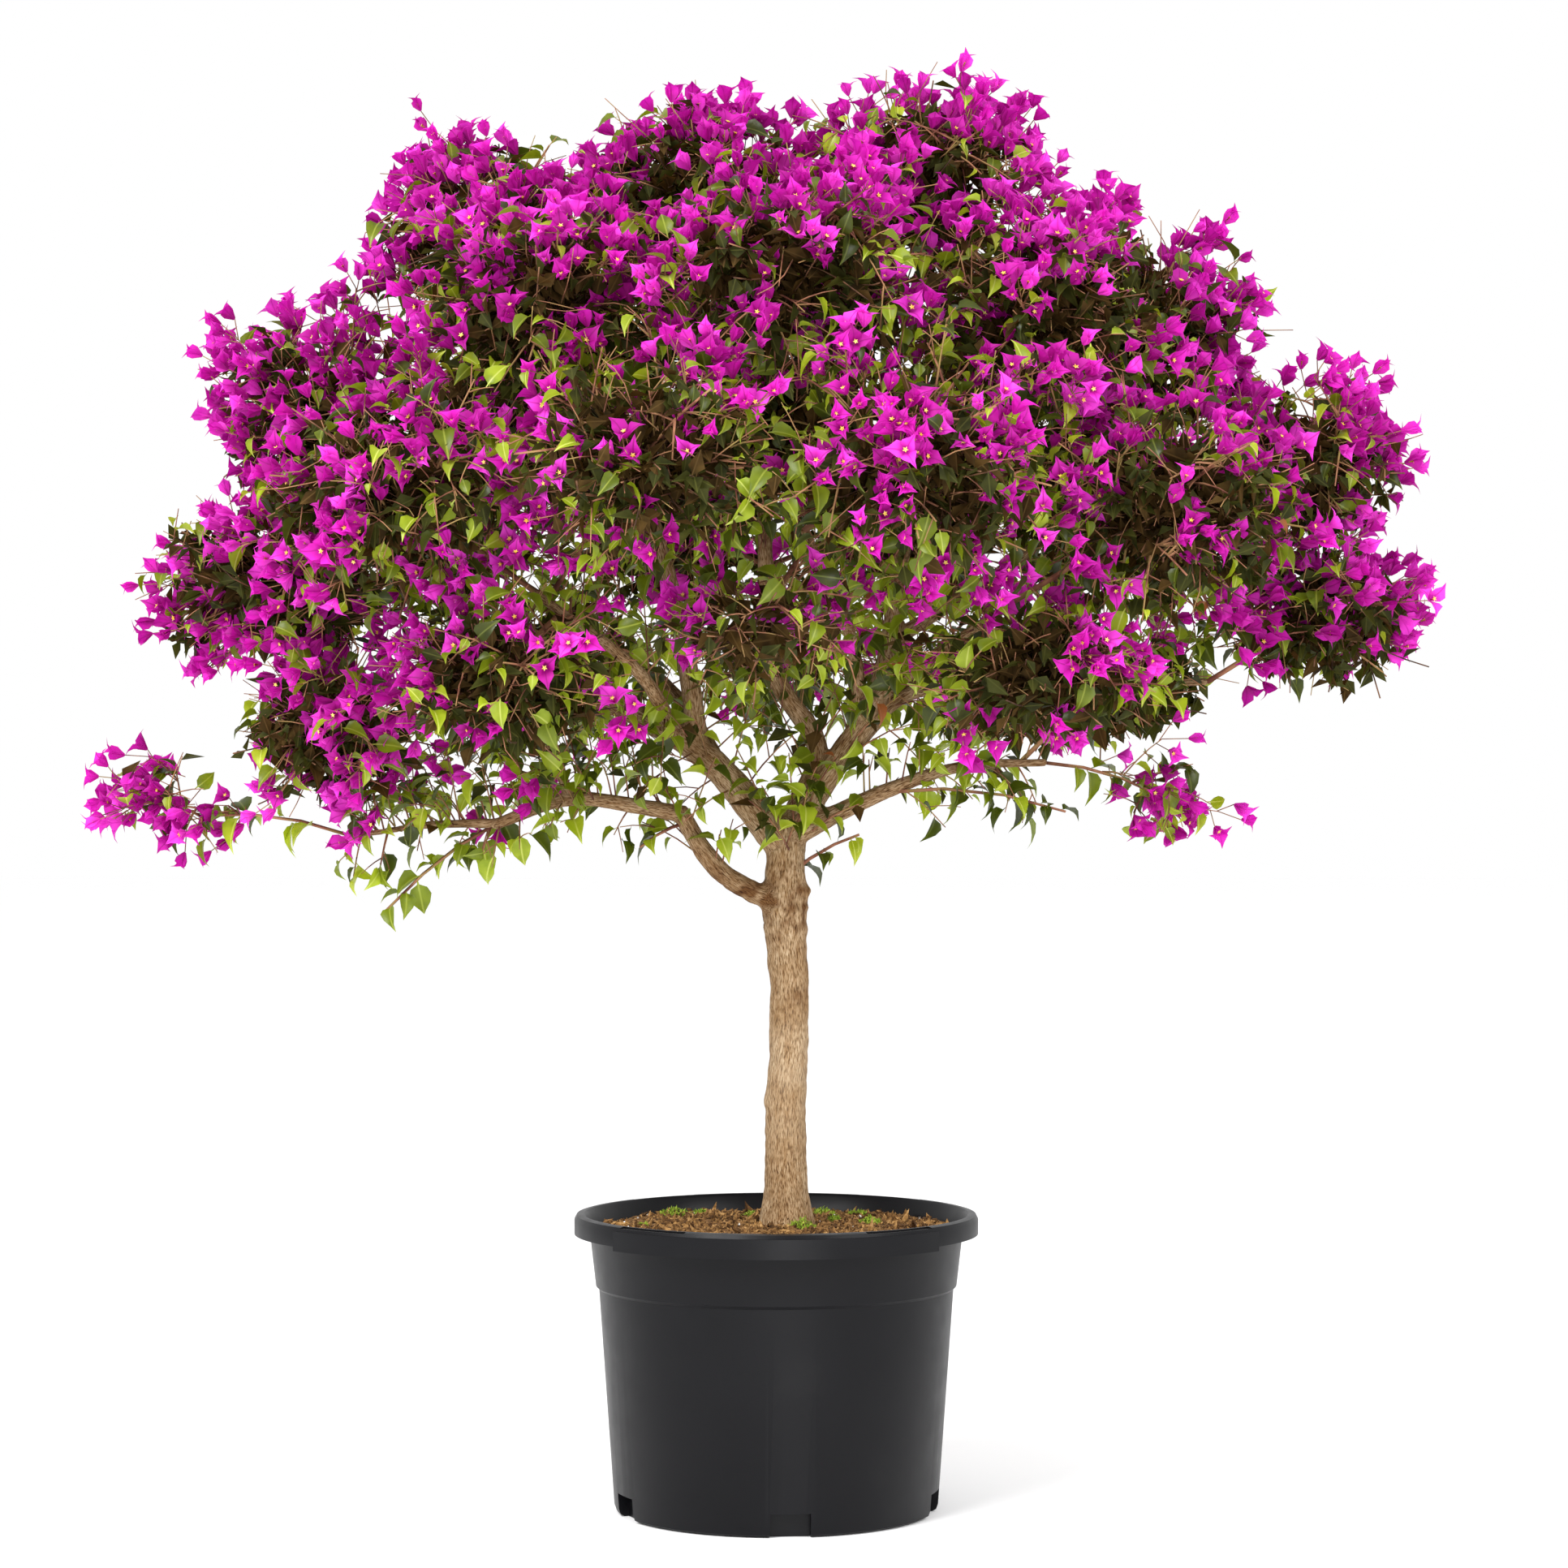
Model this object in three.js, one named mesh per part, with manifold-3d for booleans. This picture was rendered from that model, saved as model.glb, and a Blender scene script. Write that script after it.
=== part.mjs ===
// A bougainvillea grown as a small standard tree: one clean stem, a wide flowering crown,
// and the round nursery pot that it stands in.
// Units are millimetres, +Z is up. The origin is the centre of the pot's flat underside,
// X runs along the crown's widest spread and -Y is the crown's front.
import * as THREE from "three";
import { mergeVertices } from "three/addons/utils/BufferGeometryUtils.js";
import Module from "manifold-3d";

const wasm = await Module();
wasm.setup();
const { Manifold } = wasm;

// ------------------------------------------------------------------------------------------
// Driving dimensions
// ------------------------------------------------------------------------------------------
const CLEAR = 0.35; // gap left between a piece and what it meets
const POT = {
  height: 330,
  baseRadius: 180.5,
  stepHeight: 248, // where the narrow lower wall steps out to the upper one
  stepRadius: 197.5,
  neckRadius: 206.7,
  rimRadius: 225,
  rimDrop: 22, // how far the rolled rim hangs down outside
  wall: 3,
  floor: 4,
  sides: 32,
};
const DRAIN = { count: 5, width: 44, height: 26, depth: 13, firstAngle: -85, pocketWall: 3 };
const GRIP = { halfAngle: 51, slotFrom: 26, slotTo: 49, thick: 1.8 };
const SOIL = { edge: 311, top: 317.7, flatRadius: 50, bumps: 3.5 };
const TRUNK = {
  foot: 318, // the flat cut at the soil
  radius: 22,
  flare: 9.5,
  flareHeight: 42,
  collar: 4,
  collarHeight: 672, // where the stem thickens towards its fork
  collarSpread: 32,
  lobes: 4, // the root flare's lobes, how deep they are and how fast they die out upwards
  lobeDepth: 0.05,
  lobeFade: 5,
  lobeTurn: 0.6,
  sides: 12,
  steps: 12,
};
const BOUGH = {
  taperPower: 1.3,
  slenderRadius: 12, // a bough thinner than this at its root has fewer sides
  sides: 8,
  slenderSides: 6,
  stepLength: 80,
  fewestSteps: 4,
};
const TWIG = {
  stem: 4.8,
  stemTip: 3.4,
  stemLift: 0.02, // how far a stem, a spray's stem or a shoot arches up, as a share of its length
  sprayLift: 0.12,
  shoot: 3,
  shootTip: 2.2,
  shootLift: 0.1,
  leaderLift: 0.06,
  sides: 3,
  stemSteps: 2,
};
const LEAF = {
  length: 112,
  width: 66,
  thick: 3,
  widest: 0.44, // where along it a leaf is widest
  fold: 0.14,
  droop: 0.16,
  forward: 0.55, // how far it leans along its twig
  hang: 0.35,
  turn: 0.8, // the most a draw turns it round its twig
};
const SHOOT = {
  lowestRoot: 0.7, // shoots leave the stem from here to its end
  reach: 0.8, // the least share of the mass's reach that a shoot fills
  reachSpread: 0.14,
  turn: 0.7,
  scatter: 0.25,
  blades: [0.97, 0.82, 0.6], // where its leaves stand, from the tip back
};
const STEM_LEAVES = { from: 0.25, span: 0.72 };
// A blossom's bracts: reach and rise of their tips, of their widest part,
// and of the valley between two bracts.
const BRACT = {
  reach: 86,
  rise: 34,
  midReach: 55,
  midRise: 23,
  halfAngle: 0.62,
  valley: 9,
  valleyRise: 2,
  thick: 3,
  sink: 3,
};
// The least size of a leaf or a blossom, and how much a draw adds to it.
const LEAF_SIZES = [0.85, 0.3];
const BLOSSOM_SIZES = [0.9, 0.2];

const vec = (x, y, z) => new THREE.Vector3(x, y, z);
const at = ([x, y, z]) => vec(x, y, z);
const radians = THREE.MathUtils.degToRad;
const UP = vec(0, 0, 1);

// ------------------------------------------------------------------------------------------
// Geometry to solid and back
// ------------------------------------------------------------------------------------------
function solidFrom(geometry) {
  const bare = geometry.clone();
  bare.deleteAttribute("normal");
  bare.deleteAttribute("uv");
  const merged = mergeVertices(bare, 1e-3);
  return new Manifold(
    new wasm.Mesh({
      numProp: 3,
      vertProperties: new Float32Array(merged.attributes.position.array),
      triVerts: new Uint32Array(merged.index.array),
    }),
  );
}

function geometryFrom(solid) {
  const mesh = solid.getMesh();
  const positions = new Float32Array(mesh.numVert * 3);
  for (let i = 0; i < mesh.numVert; i++) {
    const start = i * mesh.numProp;
    positions.set(mesh.vertProperties.subarray(start, start + 3), i * 3);
  }
  const geometry = new THREE.BufferGeometry();
  geometry.setAttribute("position", new THREE.BufferAttribute(positions, 3));
  geometry.setIndex(new THREE.BufferAttribute(mesh.triVerts, 1));
  geometry.computeVertexNormals();
  return geometry;
}

// The largest body of a solid: loose scraps are dropped and sealed hollows are filled.
function largestBody(solid) {
  return solid.decompose().reduce((a, b) => (b.volume() > a.volume() ? b : a));
}

function moveVertices(geometry, place) {
  const position = geometry.attributes.position;
  for (let i = 0; i < position.count; i++) {
    const p = place(vec(position.getX(i), position.getY(i), position.getZ(i)));
    position.setXYZ(i, p.x, p.y, p.z);
  }
  return geometry;
}

// A closed round limb: a cylinder bent along a curve, with its radius set along the way.
// A ripple makes the section lobed instead of round.
function limbSolid(curve, radiusAt, sides, steps, ripple = () => 1) {
  const frames = curve.computeFrenetFrames(steps);
  const geometry = new THREE.CylinderGeometry(1, 1, 1, sides, steps);
  moveVertices(geometry, (v) => {
    const t = Math.min(1, Math.max(0, v.y + 0.5));
    const i = Math.round(t * steps);
    const r = radiusAt(t) * ripple(t, Math.atan2(v.z, v.x));
    return curve
      .getPointAt(t)
      .addScaledVector(frames.normals[i], v.x * r)
      .addScaledVector(frames.binormals[i], -v.z * r);
  });
  return solidFrom(geometry);
}

// ------------------------------------------------------------------------------------------
// Seeded draws: every mass and every shoot has its own stream, so one never shifts another.
// ------------------------------------------------------------------------------------------
function seeded(seed) {
  let state = seed >>> 0;
  return () => {
    state = (state + 0x6d2b79f5) >>> 0;
    let t = state;
    t = Math.imul(t ^ (t >>> 15), t | 1);
    t ^= t + Math.imul(t ^ (t >>> 7), t | 61);
    return ((t ^ (t >>> 14)) >>> 0) / 4294967296;
  };
}

// ------------------------------------------------------------------------------------------
// Pot and soil
// ------------------------------------------------------------------------------------------
const potOuter = [
  [0, 0],
  [POT.baseRadius - 6, 0],
  [POT.baseRadius, 7],
  [POT.stepRadius, POT.stepHeight - 1],
  [POT.stepRadius + 3.5, POT.stepHeight + 2.5],
  [POT.neckRadius, POT.height - 30],
];
const potRim = [
  [POT.neckRadius + 7.3, POT.height - 4.5],
  [POT.rimRadius - 3.5, POT.height - 4],
  [POT.rimRadius - 2.8, POT.height - POT.rimDrop],
  [POT.rimRadius, POT.height - POT.rimDrop],
  [POT.rimRadius, POT.height - 6],
  [POT.rimRadius - 4.5, POT.height],
  [POT.rimRadius - 11, POT.height],
];
const potInner = potOuter
  .slice(1)
  .map(([r, z]) => [r - POT.wall, Math.max(z, POT.floor)])
  .reverse();

function lathe(profile) {
  const points = profile.map(([r, z]) => new THREE.Vector2(r, z));
  return solidFrom(new THREE.LatheGeometry(points, POT.sides).rotateX(Math.PI / 2));
}

function ringSector(inner, outer, low, high, fromDegrees, toDegrees) {
  const shape = new THREE.Shape();
  shape.absarc(0, 0, outer, radians(fromDegrees), radians(toDegrees), false);
  shape.absarc(0, 0, inner, radians(toDegrees), radians(fromDegrees), true);
  const options = { depth: high - low, bevelEnabled: false, curveSegments: 8 };
  return solidFrom(new THREE.ExtrudeGeometry(shape, options).translate(0, 0, low));
}

function drainBlock(index, grow) {
  const width = DRAIN.width + 2 * grow;
  const height = DRAIN.height + grow;
  const depth = DRAIN.depth + grow;
  const geometry = new THREE.BoxGeometry(depth + 20, width, height + 10)
    .translate(POT.baseRadius - depth + (depth + 20) / 2, 0, (height - 10) / 2)
    .rotateZ(radians(DRAIN.firstAngle + (index * 360) / DRAIN.count));
  return solidFrom(geometry);
}

function makePot() {
  const envelope = lathe([...potOuter, ...potRim.slice(-2), [0, POT.height]]);
  let pot = lathe([...potOuter, ...potRim, ...potInner, [0, POT.floor]]);
  for (let i = 0; i < DRAIN.count; i++) {
    pot = pot.add(drainBlock(i, DRAIN.pocketWall).intersect(envelope)).subtract(drainBlock(i, 0));
  }
  const rimLow = POT.height - POT.rimDrop;
  for (const side of [-90, 90]) {
    const plate = [POT.rimRadius - 2.5, POT.rimRadius + GRIP.thick, rimLow, POT.height - 5];
    pot = pot.add(ringSector(...plate, side - GRIP.halfAngle, side + GRIP.halfAngle));
    for (const turn of [-1, 1]) {
      const ends = [side + turn * GRIP.slotFrom, side + turn * GRIP.slotTo].sort((a, b) => a - b);
      pot = pot.subtract(
        ringSector(POT.rimRadius - 8, POT.rimRadius - 1, POT.height - 2, POT.height + 5, ...ends),
      );
    }
  }
  return largestBody(pot);
}

function makeSoil() {
  const sideWall = potInner.map(([r, z]) => [r - CLEAR, z + (z === POT.floor ? CLEAR : 0)]).reverse();
  const below = sideWall.filter(([, z]) => z < SOIL.edge - 12);
  const topRings = [
    [POT.neckRadius - POT.wall - CLEAR - 1, SOIL.edge - 10],
    [188, SOIL.edge],
    [140, SOIL.edge + 2],
    [92, SOIL.edge + 4],
    [SOIL.flatRadius, SOIL.top],
    [0, SOIL.top],
  ];
  const profile = [[0, POT.floor + CLEAR], ...below, ...topRings];
  const points = profile.map(([r, z]) => new THREE.Vector2(r, z));
  const geometry = new THREE.LatheGeometry(points, POT.sides).rotateX(Math.PI / 2);
  moveVertices(geometry, (v) => {
    const r = Math.hypot(v.x, v.y);
    if (v.z > SOIL.edge - 1 && r > SOIL.flatRadius + 1) {
      const swells = Math.sin(v.x / 23) * Math.cos(v.y / 31);
      v.z += SOIL.bumps * (swells + 0.5 * Math.sin((v.x + v.y) / 11));
    }
    return v;
  });
  let soil = solidFrom(geometry);
  for (let i = 0; i < DRAIN.count; i++) {
    soil = soil.subtract(drainBlock(i, DRAIN.pocketWall + CLEAR));
  }
  return largestBody(soil);
}

// ------------------------------------------------------------------------------------------
// Trunk and boughs. Each limb starts inside the one that carries it, and is cut back to a
// clear saddle on it.
// ------------------------------------------------------------------------------------------
const TRUNK_LINE = [
  [12.2, 0, 308],
  [10.5, 0, 423],
  [15, 1, 568],
  [9.5, 2, 665],
  [12, 4, 768],
];
// A bough's name, the limb that carries it and how far along that is, the points it runs
// through, and its radius at root and tip.
const bough = (name, carrier, along, through, rootRadius, tipRadius) => ({
  name: `bough_${name}`,
  carrier,
  along,
  through,
  rootRadius,
  tipRadius,
});
const BOUGHS = [
  bough("low_left", "trunk", 0.79, [[-51, -8, 702], [-74, -14, 724], [-108, -28, 779]], 13.5, 10),
  bough("long_left", "bough_low_left", 0.97, [[-146, -32, 782], [-228, -36, 791], [-312, -38, 763]],
    10, 6.5),
  bough("left_end", "bough_long_left", 0.98, [[-380, -40, 763], [-470, -40, 750]], 6, 3.2),
  bough("left_riser", "bough_long_left", 0.58, [[-240, -34, 822], [-266, -30, 876]], 7, 4.5),
  bough("main_left", "trunk", 0.93, [[-82, 0, 841], [-200, 8, 905], [-400, 0, 985]], 21, 6),
  bough("up_left", "bough_main_left", 0.3, [[-101, 4, 950], [-150, 8, 1140], [-215, 0, 1290]], 13, 6),
  bough("centre", "trunk", 0.97, [[46, 8, 845], [0, 10, 930], [-14, 0, 1120], [-20, -8, 1310]], 14, 6),
  bough("right_up", "trunk", 0.96, [[71, -4, 838], [112, -8, 905], [150, -4, 1130], [195, 0, 1330]],
    17, 6),
  bough("front", "bough_right_up", 0.24, [[84, -70, 962], [30, -260, 1075]], 9, 5),
  bough("low_right", "trunk", 0.95, [[88, -10, 785], [199, -14, 826], [300, -14, 832]], 13, 4.5),
  bough("long_right", "bough_right_up", 0.2, [[150, 10, 910], [300, 6, 914], [480, 0, 922]], 10, 4.5),
  bough("right_shoulder", "bough_right_up", 0.4, [[270, 10, 1060], [410, 0, 1180]], 9, 5),
  bough("front_left", "bough_main_left", 0.36, [[-150, -110, 930], [-255, -245, 1010]], 10, 5),
  bough("front_right", "bough_right_up", 0.3, [[170, -110, 945], [250, -245, 1000]], 9, 5),
  bough("back_left", "bough_main_left", 0.22, [[-120, 120, 915], [-245, 245, 1010]], 11, 5),
  bough("back_right", "bough_right_up", 0.16, [[150, 120, 915], [250, 245, 1005]], 11, 5),
  bough("back", "bough_centre", 0.3, [[-10, 120, 980], [0, 270, 1070]], 9, 5),
];

const trunkCurve = new THREE.CatmullRomCurve3(TRUNK_LINE.map(at), false, "centripetal");
function trunkRadius(t) {
  const z = THREE.MathUtils.lerp(TRUNK_LINE[0][2], TRUNK_LINE.at(-1)[2], t);
  const flare = TRUNK.flare * Math.exp((TRUNK.foot - z) / TRUNK.flareHeight);
  const collar = TRUNK.collar * Math.exp(-(((z - TRUNK.collarHeight) / TRUNK.collarSpread) ** 2));
  return TRUNK.radius + flare + collar;
}
function trunkLobes(t, angle) {
  const depth = TRUNK.lobeDepth * Math.exp(-TRUNK.lobeFade * t);
  return 1 + depth * Math.cos(TRUNK.lobes * angle + TRUNK.lobeTurn);
}

function makeLimbs() {
  const curves = { trunk: trunkCurve };
  const trunkOf = (grow) => {
    const radius = (t) => trunkRadius(t) + grow;
    const whole = limbSolid(trunkCurve, radius, TRUNK.sides, TRUNK.steps, trunkLobes);
    return whole.trimByPlane([0, 0, 1], TRUNK.foot - grow);
  };
  const solids = new Map([["trunk", trunkOf(0)]]);
  let occupied = trunkOf(CLEAR);
  for (const { name, carrier, along, through, rootRadius, tipRadius } of BOUGHS) {
    const root = curves[carrier].getPointAt(along);
    curves[name] = new THREE.CatmullRomCurve3([root, ...through.map(at)], false, "centripetal");
    const sides = rootRadius > BOUGH.slenderRadius ? BOUGH.sides : BOUGH.slenderSides;
    const steps = Math.max(BOUGH.fewestSteps, Math.round(curves[name].getLength() / BOUGH.stepLength));
    const radius = (t) => tipRadius + (rootRadius - tipRadius) * (1 - t) ** BOUGH.taperPower;
    const limb = (grow) => limbSolid(curves[name], (t) => radius(t) + grow, sides, steps);
    solids.set(name, largestBody(limb(0).subtract(occupied)));
    occupied = occupied.add(limb(CLEAR));
  }
  return { curves, solids, occupied };
}

// ------------------------------------------------------------------------------------------
// Masses. Each is a stem from its limb to its heart, shoots from the stem to the mass's
// surface, leaves along the shoots, and a three-bract blossom on the tips that flower.
// Leaders are shoots that stand proud of the mass.
// ------------------------------------------------------------------------------------------
// A dense mass has a core of close growth. bloom is the share of its shoots that flower.
const dense = (name, carrier, along, heart, reach, shoots, bloom, leaders = []) => ({
  name: `mass_${name}`,
  carrier,
  along,
  heart,
  reach,
  shoots,
  bloom,
  leaders,
  leafSize: 1,
  stemLeaves: 0,
  hasCore: true,
});
// An open mass shows the sky between its shoots.
const open = (...shape) => ({ ...dense(...shape), hasCore: false });
// A spray is one long twig with small leaves all along it, with or without flowering shoots at its end.
const spray = (name, carrier, along, heart, reach, stemLeaves, shoots = 0, leaders = []) => ({
  ...open(name, carrier, along, heart, reach, shoots, 1, leaders),
  name: `spray_${name}`,
  leafSize: 0.6,
  stemLeaves,
});
const MASSES = [
  dense("top_left", "bough_up_left", 1, [-318, 0, 1420], [160, 165, 140], 6, 0.9, [
    [-336, -10, 1524],
    [-392, 10, 1505],
  ]),
  dense("top_middle", "bough_centre", 1, [-90, -10, 1470], [150, 160, 135], 6, 0.9, [
    [-92, -20, 1542],
    [26, 0, 1545],
  ]),
  dense("top_right", "bough_right_up", 1, [160, 0, 1480], [160, 165, 135], 6, 0.95, [
    [220, 0, 1562],
    [285, 10, 1532],
  ]),
  dense("right_top", "bough_right_shoulder", 1, [410, 0, 1315], [165, 170, 135], 6, 0.85, [
    [350, -10, 1462],
    [455, 0, 1412],
    [515, 0, 1345],
  ]),
  dense("left_shoulder", "bough_main_left", 1, [-505, -10, 1225], [145, 160, 130], 6, 0.9, [
    [-615, -20, 1285],
    [-618, 0, 1225],
  ]),
  dense("left_middle", "bough_main_left", 0.95, [-560, 0, 1035], [165, 165, 130], 6, 0.8, [
    [-690, 0, 985],
    [-610, -10, 1110],
    [-640, 0, 925],
  ]),
  dense("right_middle", "bough_right_shoulder", 0.95, [585, 0, 1165], [135, 155, 110], 6, 0.85, [
    [680, 0, 1175],
  ]),
  dense("right_outer", "bough_long_right", 1, [610, 0, 998], [145, 145, 100], 6, 0.75, [
    [712, 0, 1040],
    [705, 0, 985],
  ]),
  dense("top_front", "bough_centre", 0.9, [15, -275, 1350], [180, 165, 140], 9, 0.75),
  dense("top_front_left", "bough_up_left", 0.94, [-245, -240, 1320], [165, 160, 140], 9, 0.75),
  dense("top_front_right", "bough_right_up", 0.94, [280, -235, 1310], [165, 160, 140], 9, 0.75),
  dense("top_back", "bough_centre", 0.94, [20, 270, 1355], [180, 165, 140], 6, 0.8),
  dense("top_back_left", "bough_up_left", 0.88, [-245, 235, 1325], [165, 160, 140], 6, 0.8),
  dense("top_back_right", "bough_right_up", 0.88, [285, 230, 1320], [165, 160, 140], 6, 0.8),
  dense("left_front", "bough_front_left", 1, [-400, -310, 1115], [170, 160, 135], 9, 0.65),
  dense("front_left", "bough_front_left", 0.93, [-130, -435, 1140], [170, 155, 140], 9, 0.6),
  dense("front_right", "bough_front", 1, [145, -435, 1130], [170, 155, 140], 9, 0.6),
  dense("right_front", "bough_front_right", 1, [415, -305, 1095], [170, 160, 135], 9, 0.65),
  dense("right_back", "bough_back_right", 1, [425, 310, 1110], [170, 160, 135], 6, 0.7),
  dense("back_right", "bough_back", 1, [150, 435, 1130], [170, 155, 140], 6, 0.7),
  dense("back_left", "bough_back", 0.93, [-145, 435, 1130], [170, 155, 140], 6, 0.7),
  dense("left_back", "bough_back_left", 1, [-415, 305, 1115], [170, 160, 135], 6, 0.7),
  dense("left_inner", "bough_main_left", 0.86, [-320, -50, 1190], [140, 130, 135], 4, 0.4),
  dense("centre", "bough_centre", 0.72, [0, 20, 1210], [150, 150, 135], 4, 0.3),
  dense("right_inner", "bough_right_shoulder", 0.75, [320, -40, 1165], [140, 135, 125], 4, 0.4),
  dense("left_low", "bough_main_left", 0.9, [-495, -60, 870], [125, 135, 105], 5, 0.5),
  dense("low_front_left", "bough_front_left", 0.86, [-290, -300, 920], [155, 135, 95], 5, 0.45),
  dense("low_front_right", "bough_front_right", 0.93, [275, -315, 925], [155, 135, 90], 5, 0.45),
  dense("low_right", "bough_low_right", 0.9, [370, 30, 925], [145, 140, 72], 5, 0.4),
  dense("low_back_right", "bough_back_right", 0.92, [300, 310, 920], [155, 135, 90], 5, 0.45),
  dense("low_back_left", "bough_back_left", 0.92, [-310, 300, 920], [150, 135, 95], 5, 0.45),
  open("low_front", "bough_front", 0.93, [-15, -370, 975], [140, 115, 75], 5, 0.35),
  open("low_back", "bough_back", 0.86, [0, 375, 965], [145, 120, 85], 5, 0.4),
  open("low_left_inner", "bough_left_riser", 1, [-255, 10, 965], [120, 120, 80], 5, 0.3),
  spray("left_tip", "bough_left_end", 1, [-640, -20, 772], [100, 70, 66], 8, 4, [[-708, -20, 800]]),
  spray("right_drooping", "bough_low_right", 1, [425, -40, 795], [90, 80, 80], 4, 4),
  spray("hanging_left", "bough_long_left", 0.98, [-430, -60, 668], [75, 50, 50], 9),
  spray("right_low", "bough_low_right", 0.4, [318, -70, 778], [50, 50, 45], 9),
  spray("trunk_right", "trunk", 0.86, [92, -20, 752], [40, 40, 40], 5),
  spray("trunk_left", "bough_low_left", 0.9, [-150, -50, 738], [45, 40, 40], 5),
];
const GOLDEN_ANGLE = Math.PI * (3 - Math.sqrt(5));
const SLEEVE = 100; // how far a leader's leaves and bracts may stand off its own line
const CELL_MARGIN = 1;
const BLADE_ROOM = 38; // what a shoot's tip leaves free in front of its cell's planes
const CORE = { share: 0.78, rough: 0.2 };
const FURTHEST = 1.3; // how far from its mass's heart a leaf may end, in reaches
const BLADE_SIZES = [1, 0.8, 0.64];
const SLIVER = 0.3; // detail below this size is dropped from a fused mass
const CUT_SLIVER = 0.1; // and below this once its limb's place is cut out

function arch(start, end, lift) {
  const middle = start.clone().lerp(end, 0.5).addScaledVector(UP, lift * start.distanceTo(end));
  return new THREE.QuadraticBezierCurve3(start, middle, end);
}

// Each mass keeps to its own cell: the near side of a dividing plane towards every other
// heart, placed by both sizes.
const sizeSquared = ({ reach }) => ((reach[0] + reach[1] + reach[2]) / 3) ** 2;
function cellPlanes(mass) {
  const heart = at(mass.heart);
  return MASSES.filter((other) => other !== mass).map((other) => {
    const away = at(other.heart).sub(heart);
    const distance = away.length();
    const share = (distance ** 2 + sizeSquared(mass) - sizeSquared(other)) / (2 * distance);
    const normal = away.normalize();
    return { normal, limit: normal.dot(heart) + share - CELL_MARGIN };
  });
}

// The k-th of n directions spread evenly over a sphere, each turned a little by a draw.
function spreadDirection(k, n, draw) {
  const z = 1 - (2 * k + 1) / n;
  const angle = k * GOLDEN_ANGLE + SHOOT.turn * draw();
  const flat = Math.sqrt(1 - z * z);
  const rise = z + SHOOT.scatter * (draw() - 0.5);
  return vec(flat * Math.cos(angle), flat * Math.sin(angle), rise).normalize();
}

// How many times a line from the heart fits between the heart and the cell's planes,
// with room for a blade left.
function roomAlong(line, heart, planes) {
  return planes.reduce((room, { normal, limit }) => {
    const climb = normal.dot(line);
    return climb > 0 ? Math.min(room, (limit - BLADE_ROOM - normal.dot(heart)) / climb) : room;
  }, Infinity);
}

// The curves of one mass: its stem, then its leaders, then its shoots.
function massCurves(mass, index, limbCurves) {
  const root = limbCurves[mass.carrier].getPointAt(mass.along);
  const heart = at(mass.heart);
  const reach = at(mass.reach);
  const planes = cellPlanes(mass);
  const stem = arch(root, heart, mass.stemLeaves > 0 ? TWIG.sprayLift : TWIG.stemLift);
  const shoots = mass.leaders.map((tip) => {
    return { curve: arch(heart, at(tip), TWIG.leaderLift), leader: true };
  });
  for (let k = 0; k < mass.shoots; k++) {
    const draw = seeded(1000 * (index + 1) + k);
    const line = spreadDirection(k, mass.shoots, draw).multiply(reach);
    const base = stem.getPointAt(THREE.MathUtils.lerp(SHOOT.lowestRoot, 1, draw()));
    const wanted = SHOOT.reach + SHOOT.reachSpread * draw();
    const length = Math.min(wanted, roomAlong(line, heart, planes));
    const tip = heart.clone().addScaledVector(line, length);
    shoots.push({ curve: arch(base, tip, TWIG.shootLift), leader: false });
  }
  return { stem, shoots };
}

// A leaf: an octahedron drawn out into a pointed blade of eight faces, folded along its midrib.
function leafSolid(root, along, face, scale) {
  const side = along.clone().cross(face).normalize();
  const upward = side.clone().cross(along).normalize();
  const length = LEAF.length * scale;
  const geometry = new THREE.OctahedronGeometry(1);
  moveVertices(geometry, (v) => {
    const share = v.x < -0.5 ? 0 : v.x > 0.5 ? 1 : LEAF.widest;
    const lift = 0.5 * LEAF.thick * v.y + LEAF.fold * LEAF.width * Math.abs(v.z);
    const fall = LEAF.droop * length * share ** 2;
    return root
      .clone()
      .addScaledVector(along, share * length)
      .addScaledVector(side, 0.5 * LEAF.width * scale * v.z)
      .addScaledVector(upward, lift - fall);
  });
  return solidFrom(geometry);
}

// Leaves stand round a twig a golden angle apart, leaning forward and hanging a little.
function leafOn(curve, t, order, size, draw) {
  const along = curve.getTangentAt(t);
  const sideways = along.clone().cross(UP).normalize();
  const turn = order * GOLDEN_ANGLE + LEAF.turn * draw();
  const outward = sideways.applyAxisAngle(along, turn);
  const direction = outward.addScaledVector(along, LEAF.forward).addScaledVector(UP, -LEAF.hang);
  const face = along.clone().multiplyScalar(0.8).addScaledVector(UP, 0.6);
  const scale = size * (LEAF_SIZES[0] + LEAF_SIZES[1] * draw());
  return leafSolid(curve.getPointAt(t), direction.normalize(), face, scale);
}

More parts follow.
